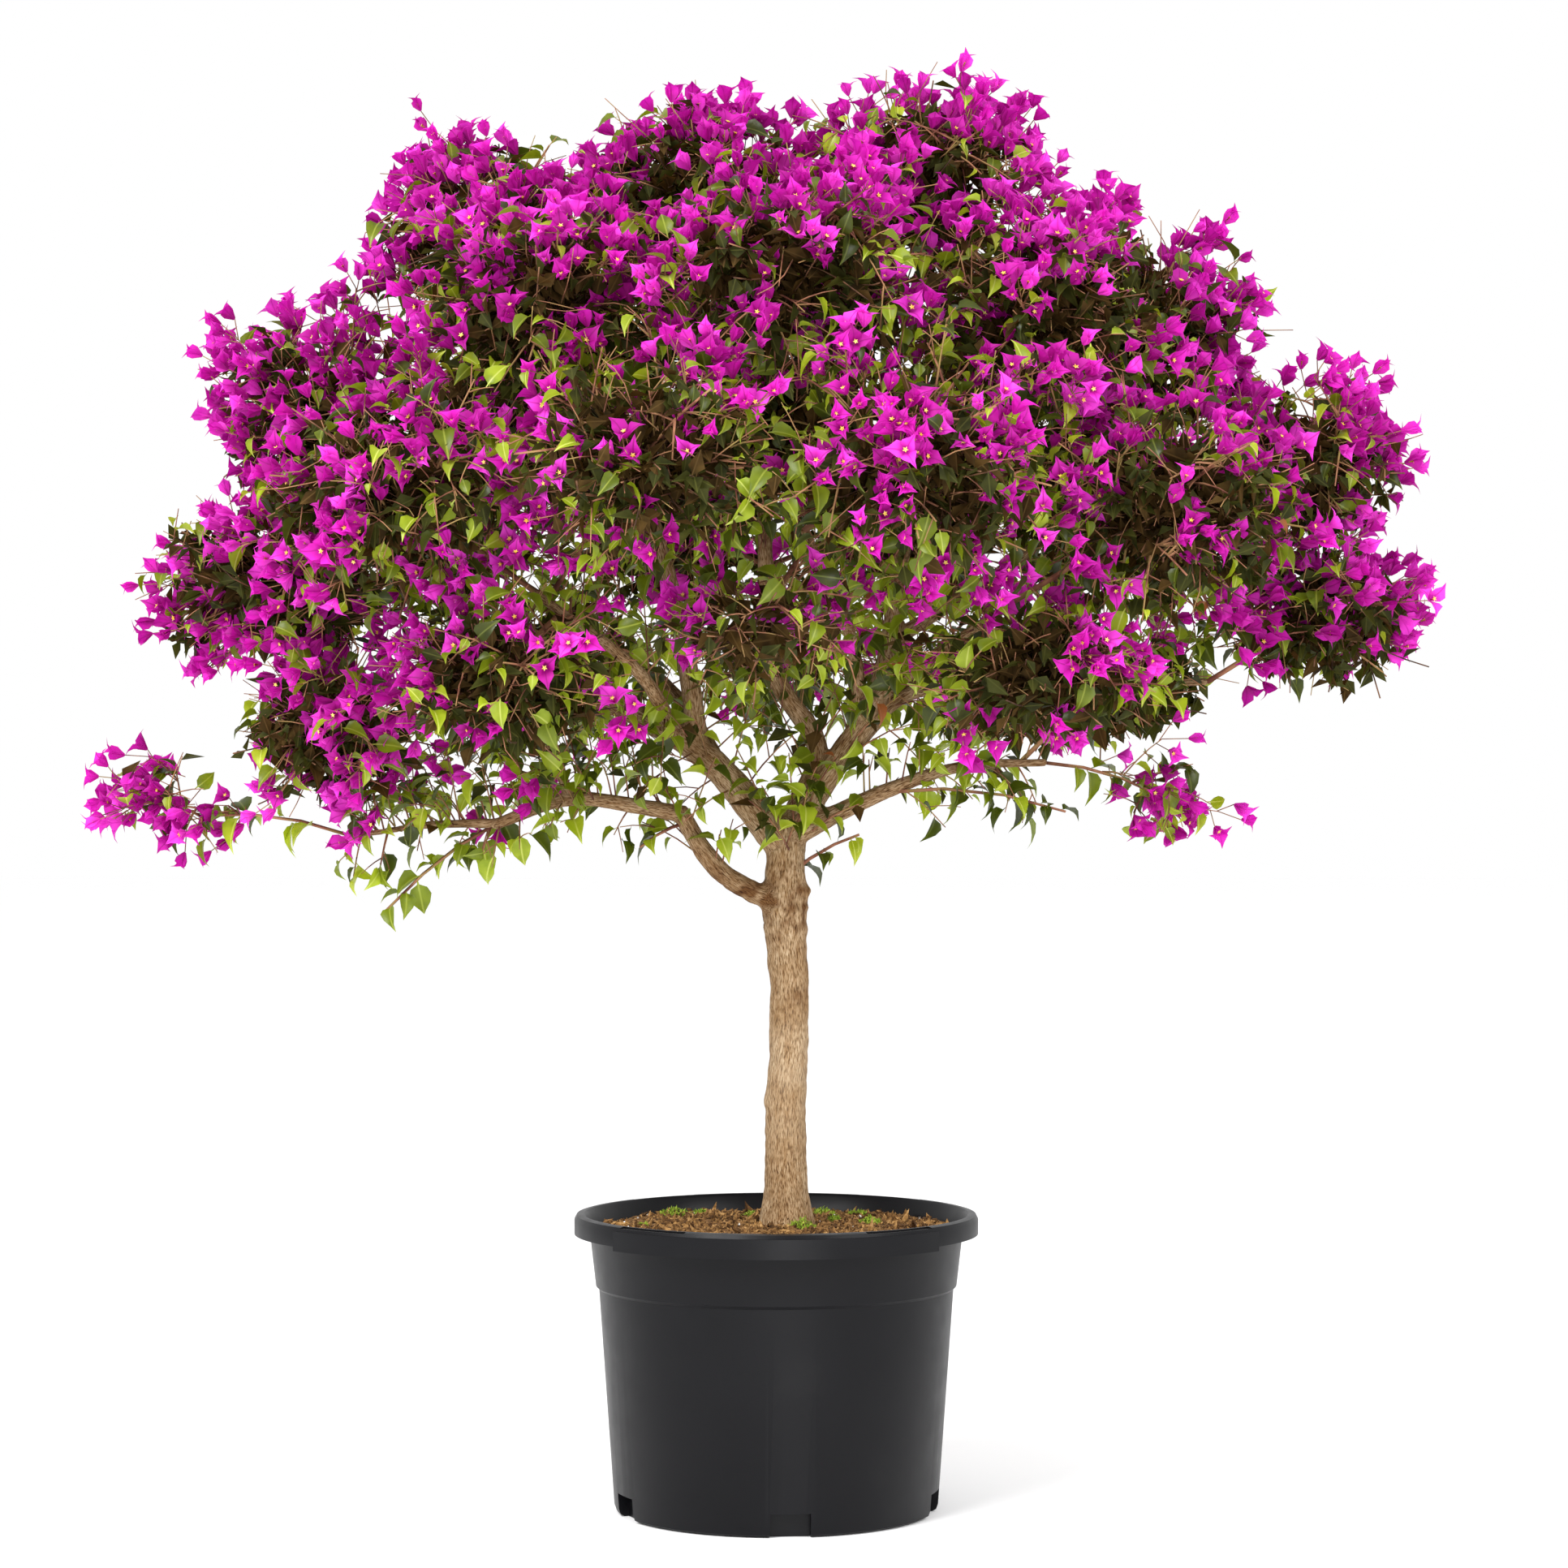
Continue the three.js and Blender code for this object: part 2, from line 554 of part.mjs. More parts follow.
// Three bracts round a twig's tip as one closed three-lobed body, each bract leaning out.
function blossomOn(curve, size, draw) {
  const tip = curve.getPointAt(1);
  const along = curve.getTangentAt(1);
  const aside = along.clone().cross(UP).normalize();
  const turn = draw() * Math.PI;
  const scale = size * (BLOSSOM_SIZES[0] + BLOSSOM_SIZES[1] * draw());
  const place = (radius, height, angle) =>
    aside
      .clone()
      .applyAxisAngle(along, turn + angle)
      .multiplyScalar(radius * scale)
      .addScaledVector(along, height * scale)
      .add(tip);
  const third = (2 * Math.PI) / 3;
  const outline = [0, third, 2 * third].flatMap((angle) => [
    place(BRACT.valley, BRACT.valleyRise, angle - third / 2),
    place(BRACT.midReach, BRACT.midRise, angle - BRACT.halfAngle),
    place(BRACT.reach, BRACT.rise, angle),
    place(BRACT.midReach, BRACT.midRise, angle + BRACT.halfAngle),
  ]);
  const points = [...outline, place(0, BRACT.thick, 0), place(0, -BRACT.sink, 0)];
  const count = outline.length;
  const faces = outline.flatMap((_, i) => [i, (i + 1) % count, count, (i + 1) % count, i, count + 1]);
  const geometry = new THREE.BufferGeometry().setFromPoints(points);
  geometry.setIndex(faces);
  return solidFrom(geometry);
}

const inCell = (point, planes) => planes.every(({ normal, limit }) => normal.dot(point) < limit);

function inReach(point, mass, curves) {
  const span = point.clone().sub(at(mass.heart)).divide(at(mass.reach)).length();
  if (span < FURTHEST) return true;
  const sleeves = curves.shoots.filter((shoot) => shoot.leader).map((shoot) => shoot.curve);
  if (mass.stemLeaves > 0) sleeves.push(curves.stem);
  return sleeves.some((curve) => curve.getPoints(6).some((p) => p.distanceTo(point) < SLEEVE));
}

function solidPoints(solid) {
  const { vertProperties, numProp, numVert } = solid.getMesh();
  const pointAt = (start) => vec(...vertProperties.slice(start, start + 3));
  return Array.from({ length: numVert }, (_, i) => pointAt(i * numProp));
}

function boxesMeet(a, b) {
  const p = a.boundingBox();
  const q = b.boundingBox();
  return [0, 1, 2].every((i) => p.min[i] <= q.max[i] && q.min[i] <= p.max[i]);
}

function touches(solid, others) {
  return others.some((other) => boxesMeet(solid, other) && solid.intersect(other).volume() > 0);
}

// The close inner growth of a dense mass, as a rough lump that leaves and blossoms stand out of.
function coreSolid(mass, planes, others, draw) {
  const geometry = new THREE.DodecahedronGeometry(1, 0);
  geometry.deleteAttribute("normal");
  geometry.deleteAttribute("uv");
  const lump = mergeVertices(geometry, 1e-3);
  moveVertices(lump, (v) => {
    const size = CORE.share * (1 + CORE.rough * (2 * draw() - 1));
    return v.multiply(at(mass.reach)).multiplyScalar(size).add(at(mass.heart));
  });
  const solid = planes.reduce(
    (rest, { normal, limit }) => rest.trimByPlane(normal.clone().negate().toArray(), -limit),
    solidFrom(lump),
  );
  return solid.subtract(Manifold.union(others));
}

// Fusing leaves splinters in a mass. A spray's fine blades have none to spare.
function withoutSlivers(solid, mass, size) {
  return mass.stemLeaves > 0 ? solid : solid.asOriginal().simplify(size);
}

function makeMass(mass, curves, stem, others, draw) {
  const planes = cellPlanes(mass);
  const keepsIn = (point) => inCell(point, planes) && inReach(point, mass, curves);
  const fits = (solid) => solidPoints(solid).every(keepsIn) && !touches(solid, others);
  const twigs = [stem];
  const blades = [];
  // A blade that finds no room is tried smaller, and then left out.
  const addBlade = (bladeOfSize) => {
    const sizes = BLADE_SIZES.map((share) => share * mass.leafSize);
    const blade = sizes.map(bladeOfSize).find((solid) => fits(solid) && !touches(solid, blades));
    if (blade) blades.push(blade);
  };
  for (let i = 0; i < mass.stemLeaves; i++) {
    const t = STEM_LEAVES.from + (STEM_LEAVES.span * i) / mass.stemLeaves;
    addBlade((size) => leafOn(curves.stem, t, i, size, draw));
  }
  if (mass.shoots === 0) {
    addBlade((size) => leafSolid(at(mass.heart), curves.stem.getTangentAt(1), UP, size));
  }
  for (const { curve, leader } of curves.shoots) {
    const radius = (t) => THREE.MathUtils.lerp(TWIG.shoot, TWIG.shootTip, t);
    const twig = limbSolid(curve, radius, TWIG.sides, mass.hasCore ? 1 : 2);
    const strays = solidPoints(twig).some((p) => !inCell(p, planes));
    if (strays || touches(twig, others)) continue;
    const flowers = draw() < mass.bloom;
    const before = blades.length;
    const leafAt = (order) => (size) => leafOn(curve, SHOOT.blades[order], order, size, draw);
    addBlade(flowers ? (size) => blossomOn(curve, size, draw) : leafAt(0));
    if (leader || !flowers) addBlade(leafAt(1));
    if (leader || !mass.hasCore) addBlade(leafAt(2));
    if (blades.length > before) twigs.push(twig);
  }
  if (mass.hasCore) twigs.push(coreSolid(mass, planes, others, draw));
  return largestBody(withoutSlivers(Manifold.union([...twigs, ...blades]), mass, SLIVER));
}

function makeMasses(limbs) {
  const grown = MASSES.map((mass, index) => massCurves(mass, index, limbs.curves));
  const stemOf = (curves, grow) => {
    const radius = (t) => THREE.MathUtils.lerp(TWIG.stem, TWIG.stemTip, t) + grow;
    return limbSolid(curves.stem, radius, TWIG.sides, TWIG.stemSteps);
  };
  const stems = grown.map((curves) => stemOf(curves, 2 * CELL_MARGIN));
  let occupied = limbs.occupied;
  return MASSES.map((mass, index) => {
    const others = [limbs.occupied, ...stems.filter((_, i) => i !== index)];
    const stem = stemOf(grown[index], 0);
    const whole = makeMass(mass, grown[index], stem, others, seeded(77 + 1000 * index));
    const clear = largestBody(withoutSlivers(whole.subtract(occupied), mass, CUT_SLIVER));
    occupied = occupied.add(stems[index]);
    return clear;
  });
}

// ------------------------------------------------------------------------------------------
// The object
// ------------------------------------------------------------------------------------------
const finish = (color, roughness) => new THREE.MeshStandardMaterial({ color, roughness, metalness: 0 });
const materials = {
  plastic: finish(0x2b2c2f, 0.5),
  soil: finish(0x6b4c2e, 0.95),
  bark: finish(0xb0906c, 0.85),
  leaves: finish(0x5f7a28, 0.6),
  blossom: finish(0xc01f9e, 0.65),
};

const bougainvillea = new THREE.Group();
function addPiece(name, solid, material) {
  const mesh = new THREE.Mesh(geometryFrom(solid), material);
  mesh.name = name;
  bougainvillea.add(mesh);
}

addPiece("pot", makePot(), materials.plastic);
addPiece("soil", makeSoil(), materials.soil);
const limbs = makeLimbs();
for (const [name, solid] of limbs.solids) addPiece(name, solid, materials.bark);
makeMasses(limbs).forEach((solid, i) => {
  const { name, bloom, shoots } = MASSES[i];
  addPiece(name, solid, shoots > 0 && bloom > 0.5 ? materials.blossom : materials.leaves);
});

export default bougainvillea;
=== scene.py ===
# %% [markdown]
# # A flowering standard tree in its nursery pot
# The real object is a bougainvillea grown on one clean stem. Its boughs spread into a wide crown
# of thin twigs, small glossy leaves and papery magenta bracts, and it stands in a black pot.
# The solid model gives the frame: the pot, the soil, the stem, each bough and each mass of the
# crown. Here every one of them gets a finer shape in the same place.

# %% The frame
import math

import bpy
import numpy as np
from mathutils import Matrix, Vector, kdtree, noise


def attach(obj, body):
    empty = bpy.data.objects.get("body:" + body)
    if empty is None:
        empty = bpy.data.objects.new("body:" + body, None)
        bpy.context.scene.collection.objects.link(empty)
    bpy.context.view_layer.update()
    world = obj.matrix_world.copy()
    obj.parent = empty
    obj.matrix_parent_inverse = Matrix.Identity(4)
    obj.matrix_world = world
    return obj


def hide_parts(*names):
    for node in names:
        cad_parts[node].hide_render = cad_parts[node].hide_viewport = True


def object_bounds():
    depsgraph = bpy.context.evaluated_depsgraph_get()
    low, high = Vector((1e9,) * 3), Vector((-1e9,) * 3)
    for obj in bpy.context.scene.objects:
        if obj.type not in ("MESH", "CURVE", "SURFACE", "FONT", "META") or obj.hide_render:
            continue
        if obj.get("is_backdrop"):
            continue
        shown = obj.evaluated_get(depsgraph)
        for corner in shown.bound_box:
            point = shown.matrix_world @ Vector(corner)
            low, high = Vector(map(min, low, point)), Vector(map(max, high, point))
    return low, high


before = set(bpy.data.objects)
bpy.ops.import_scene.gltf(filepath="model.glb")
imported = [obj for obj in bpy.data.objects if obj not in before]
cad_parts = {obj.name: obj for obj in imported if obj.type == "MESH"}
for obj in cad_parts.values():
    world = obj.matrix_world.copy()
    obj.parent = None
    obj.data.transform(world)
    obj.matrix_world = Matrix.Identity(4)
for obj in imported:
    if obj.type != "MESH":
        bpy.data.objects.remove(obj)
cad_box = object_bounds()
print("nodes in the frame:", len(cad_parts))

# %% [markdown]
# ## Measures and colours
# The plant is laid out in millimetres, as a grower would measure it, and each mesh is turned to
# metres when it is made. Colours are mixed as everyday screen values and turned to the linear
# values that shaders work in.

# %% Helpers for measures, colours and materials
MM = 0.001
UP = np.array([0.0, 0.0, 1.0])


def paint(red, green, blue):
    """A colour given as everyday 0-255 values, as the linear colour a shader needs."""
    shares = [c / 255 for c in (red, green, blue)]
    linear = [s / 12.92 if s <= 0.04045 else ((s + 0.055) / 1.055) ** 2.4 for s in shares]
    return (*linear, 1.0)


class Finish:
    """A material with short ways to add and join the nodes it is made of."""

    def __init__(self, name, roughness, specular=0.5):
        self.material = bpy.data.materials.new(name)
        self.material.use_nodes = True
        self.tree = self.material.node_tree
        self.shader = self.tree.nodes["Principled BSDF"]
        self.shader.inputs["Roughness"].default_value = roughness
        self.shader.inputs["Specular IOR Level"].default_value = specular

    def node(self, kind, **settings):
        made = self.tree.nodes.new(kind)
        for key, value in settings.items():
            setattr(made, key, value)
        return made

    def join(self, source, target):
        self.tree.links.new(source, target)

    def place(self, attribute=None):
        """Where a pattern is read: the piece's own attribute, or its place in the object."""
        if attribute:
            return self.node("ShaderNodeAttribute", attribute_name=attribute).outputs["Vector"]
        return self.node("ShaderNodeTexCoord").outputs["Object"]

    def grain(self, where, scale, detail=3.0):
        """A noise pattern's grey value, from 0 to 1."""
        texture = self.node("ShaderNodeTexNoise")
        texture.inputs["Scale"].default_value = scale
        texture.inputs["Detail"].default_value = detail
        self.join(where, texture.inputs["Vector"])
        return texture.outputs["Fac"]

    def ramp(self, value, *stops):
        """Colours laid along a grey value. A stop is a place from 0 to 1 and a colour: three
        everyday values, or four linear ones."""
        made = self.node("ShaderNodeValToRGB")
        elements = made.color_ramp.elements
        while len(elements) < len(stops):
            elements.new(0.5)
        for element, (place, colour) in zip(elements, stops):
            element.position = place
            element.color = paint(*colour) if len(colour) == 3 else colour
        self.join(value, made.inputs["Fac"])
        return made.outputs["Color"]

    def speckled(self, scale, detail, *stops):
        """Colours laid along a noise in the object's own space."""
        return self.ramp(self.grain(self.place(), scale, detail), *stops)

    def mixed(self, factor, first, second, blend="MIX"):
        """Two colours mixed by a factor, each a colour, a value or another node's output."""
        made = self.node("ShaderNodeMix", data_type="RGBA", blend_type=blend)
        sockets = (made.inputs[0], made.inputs[6], made.inputs[7])
        for value, target in zip((factor, first, second), sockets):
            if isinstance(value, bpy.types.NodeSocket):
                self.join(value, target)
            else:
                target.default_value = value
        return made.outputs[2]

    def ranged(self, value, before, after):
        """A value moved from one range to another, each given by its two ends."""
        made = self.node("ShaderNodeMapRange")
        for key, end in zip(("From Min", "From Max", "To Min", "To Max"), (*before, *after)):
            made.inputs[key].default_value = end
        self.join(value, made.inputs["Value"])
        return made.outputs["Result"]

    def rough_between(self, value, smooth, rough):
        """Roughness that follows a grey value between two limits."""
        self.join(self.ranged(value, (0, 1), (smooth, rough)), self.shader.inputs["Roughness"])

    def bump(self, height, depth, strength=1.0):
        """Fine relief, with its depth in metres."""
        made = self.node("ShaderNodeBump")
        made.inputs["Strength"].default_value = strength
        made.inputs["Distance"].default_value = depth
        self.join(height, made.inputs["Height"])
        self.join(made.outputs["Normal"], self.shader.inputs["Normal"])

    def split(self, vector):
        """A vector's parts, as outputs named X, Y and Z."""
        made = self.node("ShaderNodeSeparateXYZ")
        self.join(vector, made.inputs["Vector"])
        return made.outputs

    def colour(self, source):
        self.join(source, self.shader.inputs["Base Color"])


# %% [markdown]
# ## Lathe work
# The pot and the soil are round, so each starts as one point that is pulled out into a profile
# and spun round the pot's axis. That gives clean rings, as on a moulded pot. Spinning can turn
# the shape inside out, so its doubles are merged and its normals are set outwards.

# %% The spin
SPIN_STEPS = 144
SAME_POINT = 1e-6


def begin_alone():
    """Leaves edit mode and lets go of everything that is selected."""
    if bpy.context.object and bpy.context.object.mode != "OBJECT":
        bpy.ops.object.mode_set(mode="OBJECT")
    bpy.ops.object.select_all(action="DESELECT")


def pick(piece):
    """Makes a piece the only one that the next tool works on."""
    begin_alone()
    piece.select_set(True)
    bpy.context.view_layer.objects.active = piece


def spun(name, profile, degrees=360.0, first=0.0, steps=SPIN_STEPS):
    """A profile of (radius, height) points in millimetres, spun round the upright axis."""
    turn = math.radians(first)
    begin_alone()
    radius, height = profile[0]
    start = (radius * MM * math.cos(turn), radius * MM * math.sin(turn), height * MM)
    bpy.ops.mesh.primitive_plane_add(size=0.01, location=start)
    piece = bpy.context.object
    piece.name = name
    bpy.ops.object.transform_apply(location=True, rotation=True, scale=True)
    bpy.ops.object.mode_set(mode="EDIT")
    bpy.ops.mesh.select_mode(type="VERT")
    bpy.ops.mesh.select_all(action="SELECT")
    bpy.ops.mesh.merge(type="CENTER")
    for (r0, z0), (r1, z1) in zip(profile, profile[1:]):
        step = ((r1 - r0) * MM * math.cos(turn), (r1 - r0) * MM * math.sin(turn), (z1 - z0) * MM)
        bpy.ops.mesh.extrude_region_move(TRANSFORM_OT_translate={"value": step})
    bpy.ops.mesh.select_all(action="SELECT")
    if profile[0][0] > 0:
        bpy.ops.mesh.remove_doubles(threshold=SAME_POINT)
        bpy.ops.mesh.select_all(action="SELECT")
    if degrees < 360:
        bpy.ops.mesh.edge_face_add()
    bpy.ops.mesh.spin(steps=steps, angle=math.radians(degrees), center=(0, 0, 0), axis=(0, 0, 1))
    bpy.ops.mesh.select_all(action="SELECT")
    bpy.ops.mesh.remove_doubles(threshold=2 * SAME_POINT)
    bpy.ops.mesh.normals_make_consistent(inside=False)
    bpy.ops.object.mode_set(mode="OBJECT")
    return piece


# %% Modifiers, Booleans and dressing


def apply_modifier(piece, kind, **settings):
    """Adds a modifier, sets it and applies it at once."""
    pick(piece)
    modifier = piece.modifiers.new(kind.title(), kind)
    for key, value in settings.items():
        setattr(modifier, key, value)
    bpy.ops.object.modifier_apply(modifier=modifier.name)


def cut_or_join(piece, tool, operation):
    """A Boolean with another piece, which is used up."""
    apply_modifier(piece, "BOOLEAN", object=tool, operation=operation, solver="EXACT")
    bpy.data.objects.remove(tool)


def smooth(piece, degrees):
    pick(piece)
    bpy.ops.object.shade_smooth_by_angle(angle=math.radians(degrees))


def dress(piece, slot, *finishes):
    """Gives a piece its materials and its body. The slot is not used."""
    for finish in finishes:
        piece.data.materials.append(finish.material)
    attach(piece, "root")
    print(piece.name, "has", len(piece.data.polygons), "faces")


# %% [markdown]
# ## The pot
# A nursery pot is thin black plastic, moulded in one piece: a tapering wall with a step near the
# top, a rolled rim that hangs over like a lip, drainage notches round the foot, and on the rim
# two slightly raised grips. The wall is spun, the notches are cut as pockets with Booleans, and
# the grips are short spun bars. A fine bevel rounds the edges, because moulded plastic has none
# that are sharp.

# %% Pot shape
# The wall's outside from the foot up, over the lip and down the inside: radius and height.
POT_PROFILE = [
    (0.0, 0.0), (174.0, 0.0), (178.5, 2.5), (180.5, 8.0), (197.5, 247.0), (201.0, 250.5),
    (206.7, 300.0), (214.0, 325.5), (221.5, 326.5), (222.3, 308.0), (225.0, 308.0),
    (225.0, 324.0), (222.5, 329.0), (219.0, 330.0), (214.5, 330.0), (211.5, 327.0),
    (203.5, 300.0), (198.0, 251.0), (194.5, 247.5), (177.5, 9.0), (174.0, 4.0), (0.0, 4.0),
]
FOOT_RADIUS = 180.5
NOTCH = {"width": 44.0, "height": 26.0, "depth": 13.0, "wall": 3.0}
NOTCH_ANGLES = [-85.0 + index * 360 / 5 for index in range(5)]
# Each section: inner and outer radius, low and high edge.
GRIP = {"reach": 51.0, "section": (222.0, 226.8, 303.5, 325.0)}
RECESS = {"from": 26.0, "to": 49.0, "section": (217.0, 223.6, 328.2, 340.0)}
ARC_STEP = 2.5


def block(name, low, high, turn):
    """A block between two corners in millimetres, turned round the pot's axis."""
    begin_alone()
    middle = [(a + b) / 2 * MM for a, b in zip(low, high)]
    bpy.ops.mesh.primitive_cube_add(size=1, location=middle)
    piece = bpy.context.object
    piece.name = name
    piece.scale = [(b - a) * MM for a, b in zip(low, high)]
    bpy.ops.object.transform_apply(location=True, rotation=True, scale=True)
    piece.rotation_euler = (0, 0, math.radians(turn))
    bpy.ops.object.transform_apply(location=True, rotation=True, scale=True)
    return piece


def notch(name, turn, grow):
    """A block where a drainage notch is, with some millimetres more on each side."""
    inner = FOOT_RADIUS - NOTCH["depth"] - grow
    half = NOTCH["width"] / 2 + grow
    return block(name, (inner, -half, -10), (200, half, NOTCH["height"] + grow), turn)


def arc_bar(name, section, first, last):
    """A bar of square section bent round the rim. A part turn runs backwards, so it starts last."""
    inner, outer, low, high = section
    corners = [(inner, low), (outer, low), (outer, high), (inner, high), (inner, low)]
    steps = max(6, int(abs(last - first) / ARC_STEP))
    return spun(name, corners, degrees=last - first, first=last, steps=steps)


# %% Cutting the pot
pot = spun("pot_shell", POT_PROFILE)
for angle in NOTCH_ANGLES:
    pocket = notch("pocket", angle, NOTCH["wall"])
    envelope = spun("pot_envelope", [*POT_PROFILE[:6], (0.0, 300.0)])
    cut_or_join(pocket, envelope, "INTERSECT")
    cut_or_join(pot, pocket, "UNION")
    cut_or_join(pot, notch("notch", angle, 0.0), "DIFFERENCE")
for side in (-90, 90):
    grip = arc_bar("grip", GRIP["section"], side - GRIP["reach"], side + GRIP["reach"])
    cut_or_join(pot, grip, "UNION")
    near, far = RECESS["from"], RECESS["to"]
    for ends in ((side - far, side - near), (side + near, side + far)):
        cut_or_join(pot, arc_bar("recess", RECESS["section"], *ends), "DIFFERENCE")
bevel = {"width": 0.9 * MM, "segments": 2, "limit_method": "ANGLE", "angle_limit": math.radians(40)}
apply_modifier(pot, "BEVEL", **bevel)
smooth(pot, 35)

# %% [markdown]
# Black nursery plastic isn't quite black: it has a satin gloss that changes a little from place
# to place, a very fine moulding texture and a dusting of soil. Noise steers the roughness, and
# a wider noise lays on the dust.

# %% Pot finish
plastic = Finish("black_pot_plastic", 0.4, 0.15)
black = [(0.3, (8, 8, 11)), (0.6, (11, 11, 14)), (0.85, (20, 20, 21))]
plastic.colour(plastic.speckled(9.0, 5.0, *black))
plastic.rough_between(plastic.grain(plastic.place(), 40.0, 4.0), 0.3, 0.46)
plastic.bump(plastic.grain(plastic.place(), 900.0, 2.0), 0.00025, 0.25)
dress(pot, "pot", plastic)
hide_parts("pot")

# %% [markdown]
# ## The soil
# Potting soil is a brown crumb of bark, peat and a few white grains of perlite, higher round the
# stem and sunk a little at the wall. The ground is spun in fine rings, and noise lifts it. The
# crumbs, chips and grains that lie loose on it are small rough lumps, joined into one mesh each
# from arrays, because thousands of separate objects would be slow.

# %% Joined meshes from arrays
# A mesh is made at once from an array of points and an array of triangles. A small template can
# be stamped at many places, and the parts are joined before the mesh is made.


def mesh_piece(name, points, faces, kinds=None, uv=None, flat=False):
    """One mesh from an array of points in millimetres and an array of triangles."""
    faces = np.asarray(faces, dtype=np.int32)
    data = bpy.data.meshes.new(name)
    data.vertices.add(len(points))
    data.vertices.foreach_set("co", (np.asarray(points, dtype=np.float32) * MM).ravel())
    data.loops.add(faces.size)
    data.loops.foreach_set("vertex_index", faces.ravel())
    data.polygons.add(len(faces))
    data.polygons.foreach_set("loop_start", np.arange(0, faces.size, 3, dtype=np.int32))
    data.update(calc_edges=True)
    data.polygons.foreach_set("use_smooth", np.full(len(faces), not flat))
    if kinds is not None:
        data.polygons.foreach_set("material_index", np.asarray(kinds, dtype=np.int32))
    if uv is not None:
        layer = data.uv_layers.new(name="leaf")
        layer.data.foreach_set("uv", np.asarray(uv, dtype=np.float32)[faces.ravel()].ravel())
    data.update()
    piece = bpy.data.objects.new(name, data)
    bpy.context.scene.collection.objects.link(piece)
    return piece


def unit(vectors):
    lengths = np.linalg.norm(vectors, axis=-1, keepdims=True)
    return vectors / np.maximum(lengths, 1e-9)


def stamped(template, faces, origins, axes, sizes):
    """Copies of a small template: each origin has three axes, and one size or one along each."""
    scaled = template[None] * sizes.reshape(len(origins), 1, -1)
    points = origins[:, None, :] + np.einsum("nki,nij->nkj", scaled, axes)
    offsets = (np.arange(len(origins)) * len(template))[:, None, None]
    return points.reshape(-1, 3), (faces[None, :, :] + offsets).reshape(-1, 3)


def joined(parts):
    """Several (points, triangles) pairs as one."""
    offsets = np.cumsum([0, *[len(points) for points, _ in parts[:-1]]])
    points = np.concatenate([points for points, _ in parts])
    return points, np.concatenate([faces + offset for (_, faces), offset in zip(parts, offsets)])


def random_axes(rng, count):
    first = unit(rng.normal(size=(count, 3)))
    second = unit(np.cross(first, rng.normal(size=(count, 3))))
    return np.stack([first, second, np.cross(first, second)], axis=1)


# %% Soil shape
SOIL_TOP = 317.7
SOIL_EDGE = 311.0
SOIL_FOOT = [(0.0, 6.0), (172.0, 6.0), (176.0, 12.0)]
SOIL_RINGS = [(radius, SOIL_EDGE) for radius in np.linspace(202.0, 0.0, 68)]
FOOT_BELOW = 0.3
POCKET_GAP = 0.4
SCATTER_RADIUS = 198
CRUMBS, CHIPS, GRAINS = 4600, 260, 34


def ground_height(x, y):
    """The soil's height in millimetres: a mound round the stem, with rough crumbs."""
    r = math.hypot(x, y)
    mound = SOIL_EDGE + (SOIL_TOP - SOIL_EDGE) * math.exp(-((r / 110) ** 2))
    swell = 3.2 * noise.noise(Vector((x, y, 0)) / 42)
    lumps = 2.6 * noise.noise(Vector((x, y, 7)) / 11)
    crumb = 1.1 * noise.noise(Vector((x, y, 3)) / 4)
    return mound + (swell + lumps) * min(1.0, r / 45) + crumb


soil = spun("soil_ground", [*SOIL_FOOT, *SOIL_RINGS])
for vertex in soil.data.vertices:
    if vertex.co.z > FOOT_BELOW:
        vertex.co.z = ground_height(vertex.co.x / MM, vertex.co.y / MM) * MM
for angle in NOTCH_ANGLES:
    cut_or_join(soil, notch("notch", angle, NOTCH["wall"] + POCKET_GAP), "DIFFERENCE")
smooth(soil, 60)

# %% Loose crumbs and grains
rng = np.random.default_rng(11)
LUMP = np.array([(1, 0, 0), (-0.8, 0.2, 0), (0, 1, 0.2), (0, -0.9, 0), (0.1, 0, 0.8), (0, 0.1, -1)])
LUMP_FACES = np.array([
    (0, 2, 4), (2, 1, 4), (1, 3, 4), (3, 0, 4), (2, 0, 5), (1, 2, 5), (3, 1, 5), (0, 3, 5),
])


def ground_places(count, radius, x=0.0, y=0.0):
    """Random places on a round patch of soil, and how far each lies from its middle."""
    reach = radius * np.sqrt(rng.random(count))
    angle = rng.random(count) * 2 * math.pi
    across, back = x + reach * np.cos(angle), y + reach * np.sin(angle)
    heights = [ground_height(a, b) for a, b in zip(across, back)]
    return np.stack([across, back, heights], axis=1), reach


def scatter(count, size_range, lift, slender):
    """Loose lumps on the soil: more of them are small, and some are long chips."""
    places, _ = ground_places(count, SCATTER_RADIUS)
    places[:, 2] += lift
    small, large = size_range
    size = small + (large - small) * rng.random(count) ** 3
    shape = np.stack([size * (1 + slender * rng.random(count)), size, size * 0.7], axis=1)
    return stamped(LUMP, LUMP_FACES, places, random_axes(rng, count), shape)


loose = joined([scatter(CRUMBS, (0.9, 4.4), 0.4, 1.8), scatter(CHIPS, (2.6, 6.0), 1.4, 3.0)])
crumb_kinds = np.repeat(rng.integers(0, 3, CRUMBS + CHIPS), len(LUMP_FACES))
crumbs = mesh_piece("soil_crumbs", *loose, crumb_kinds, flat=True)
grains = mesh_piece("soil_perlite", *scatter(GRAINS, (1.4, 4.2), 1.6, 0.3), flat=True)

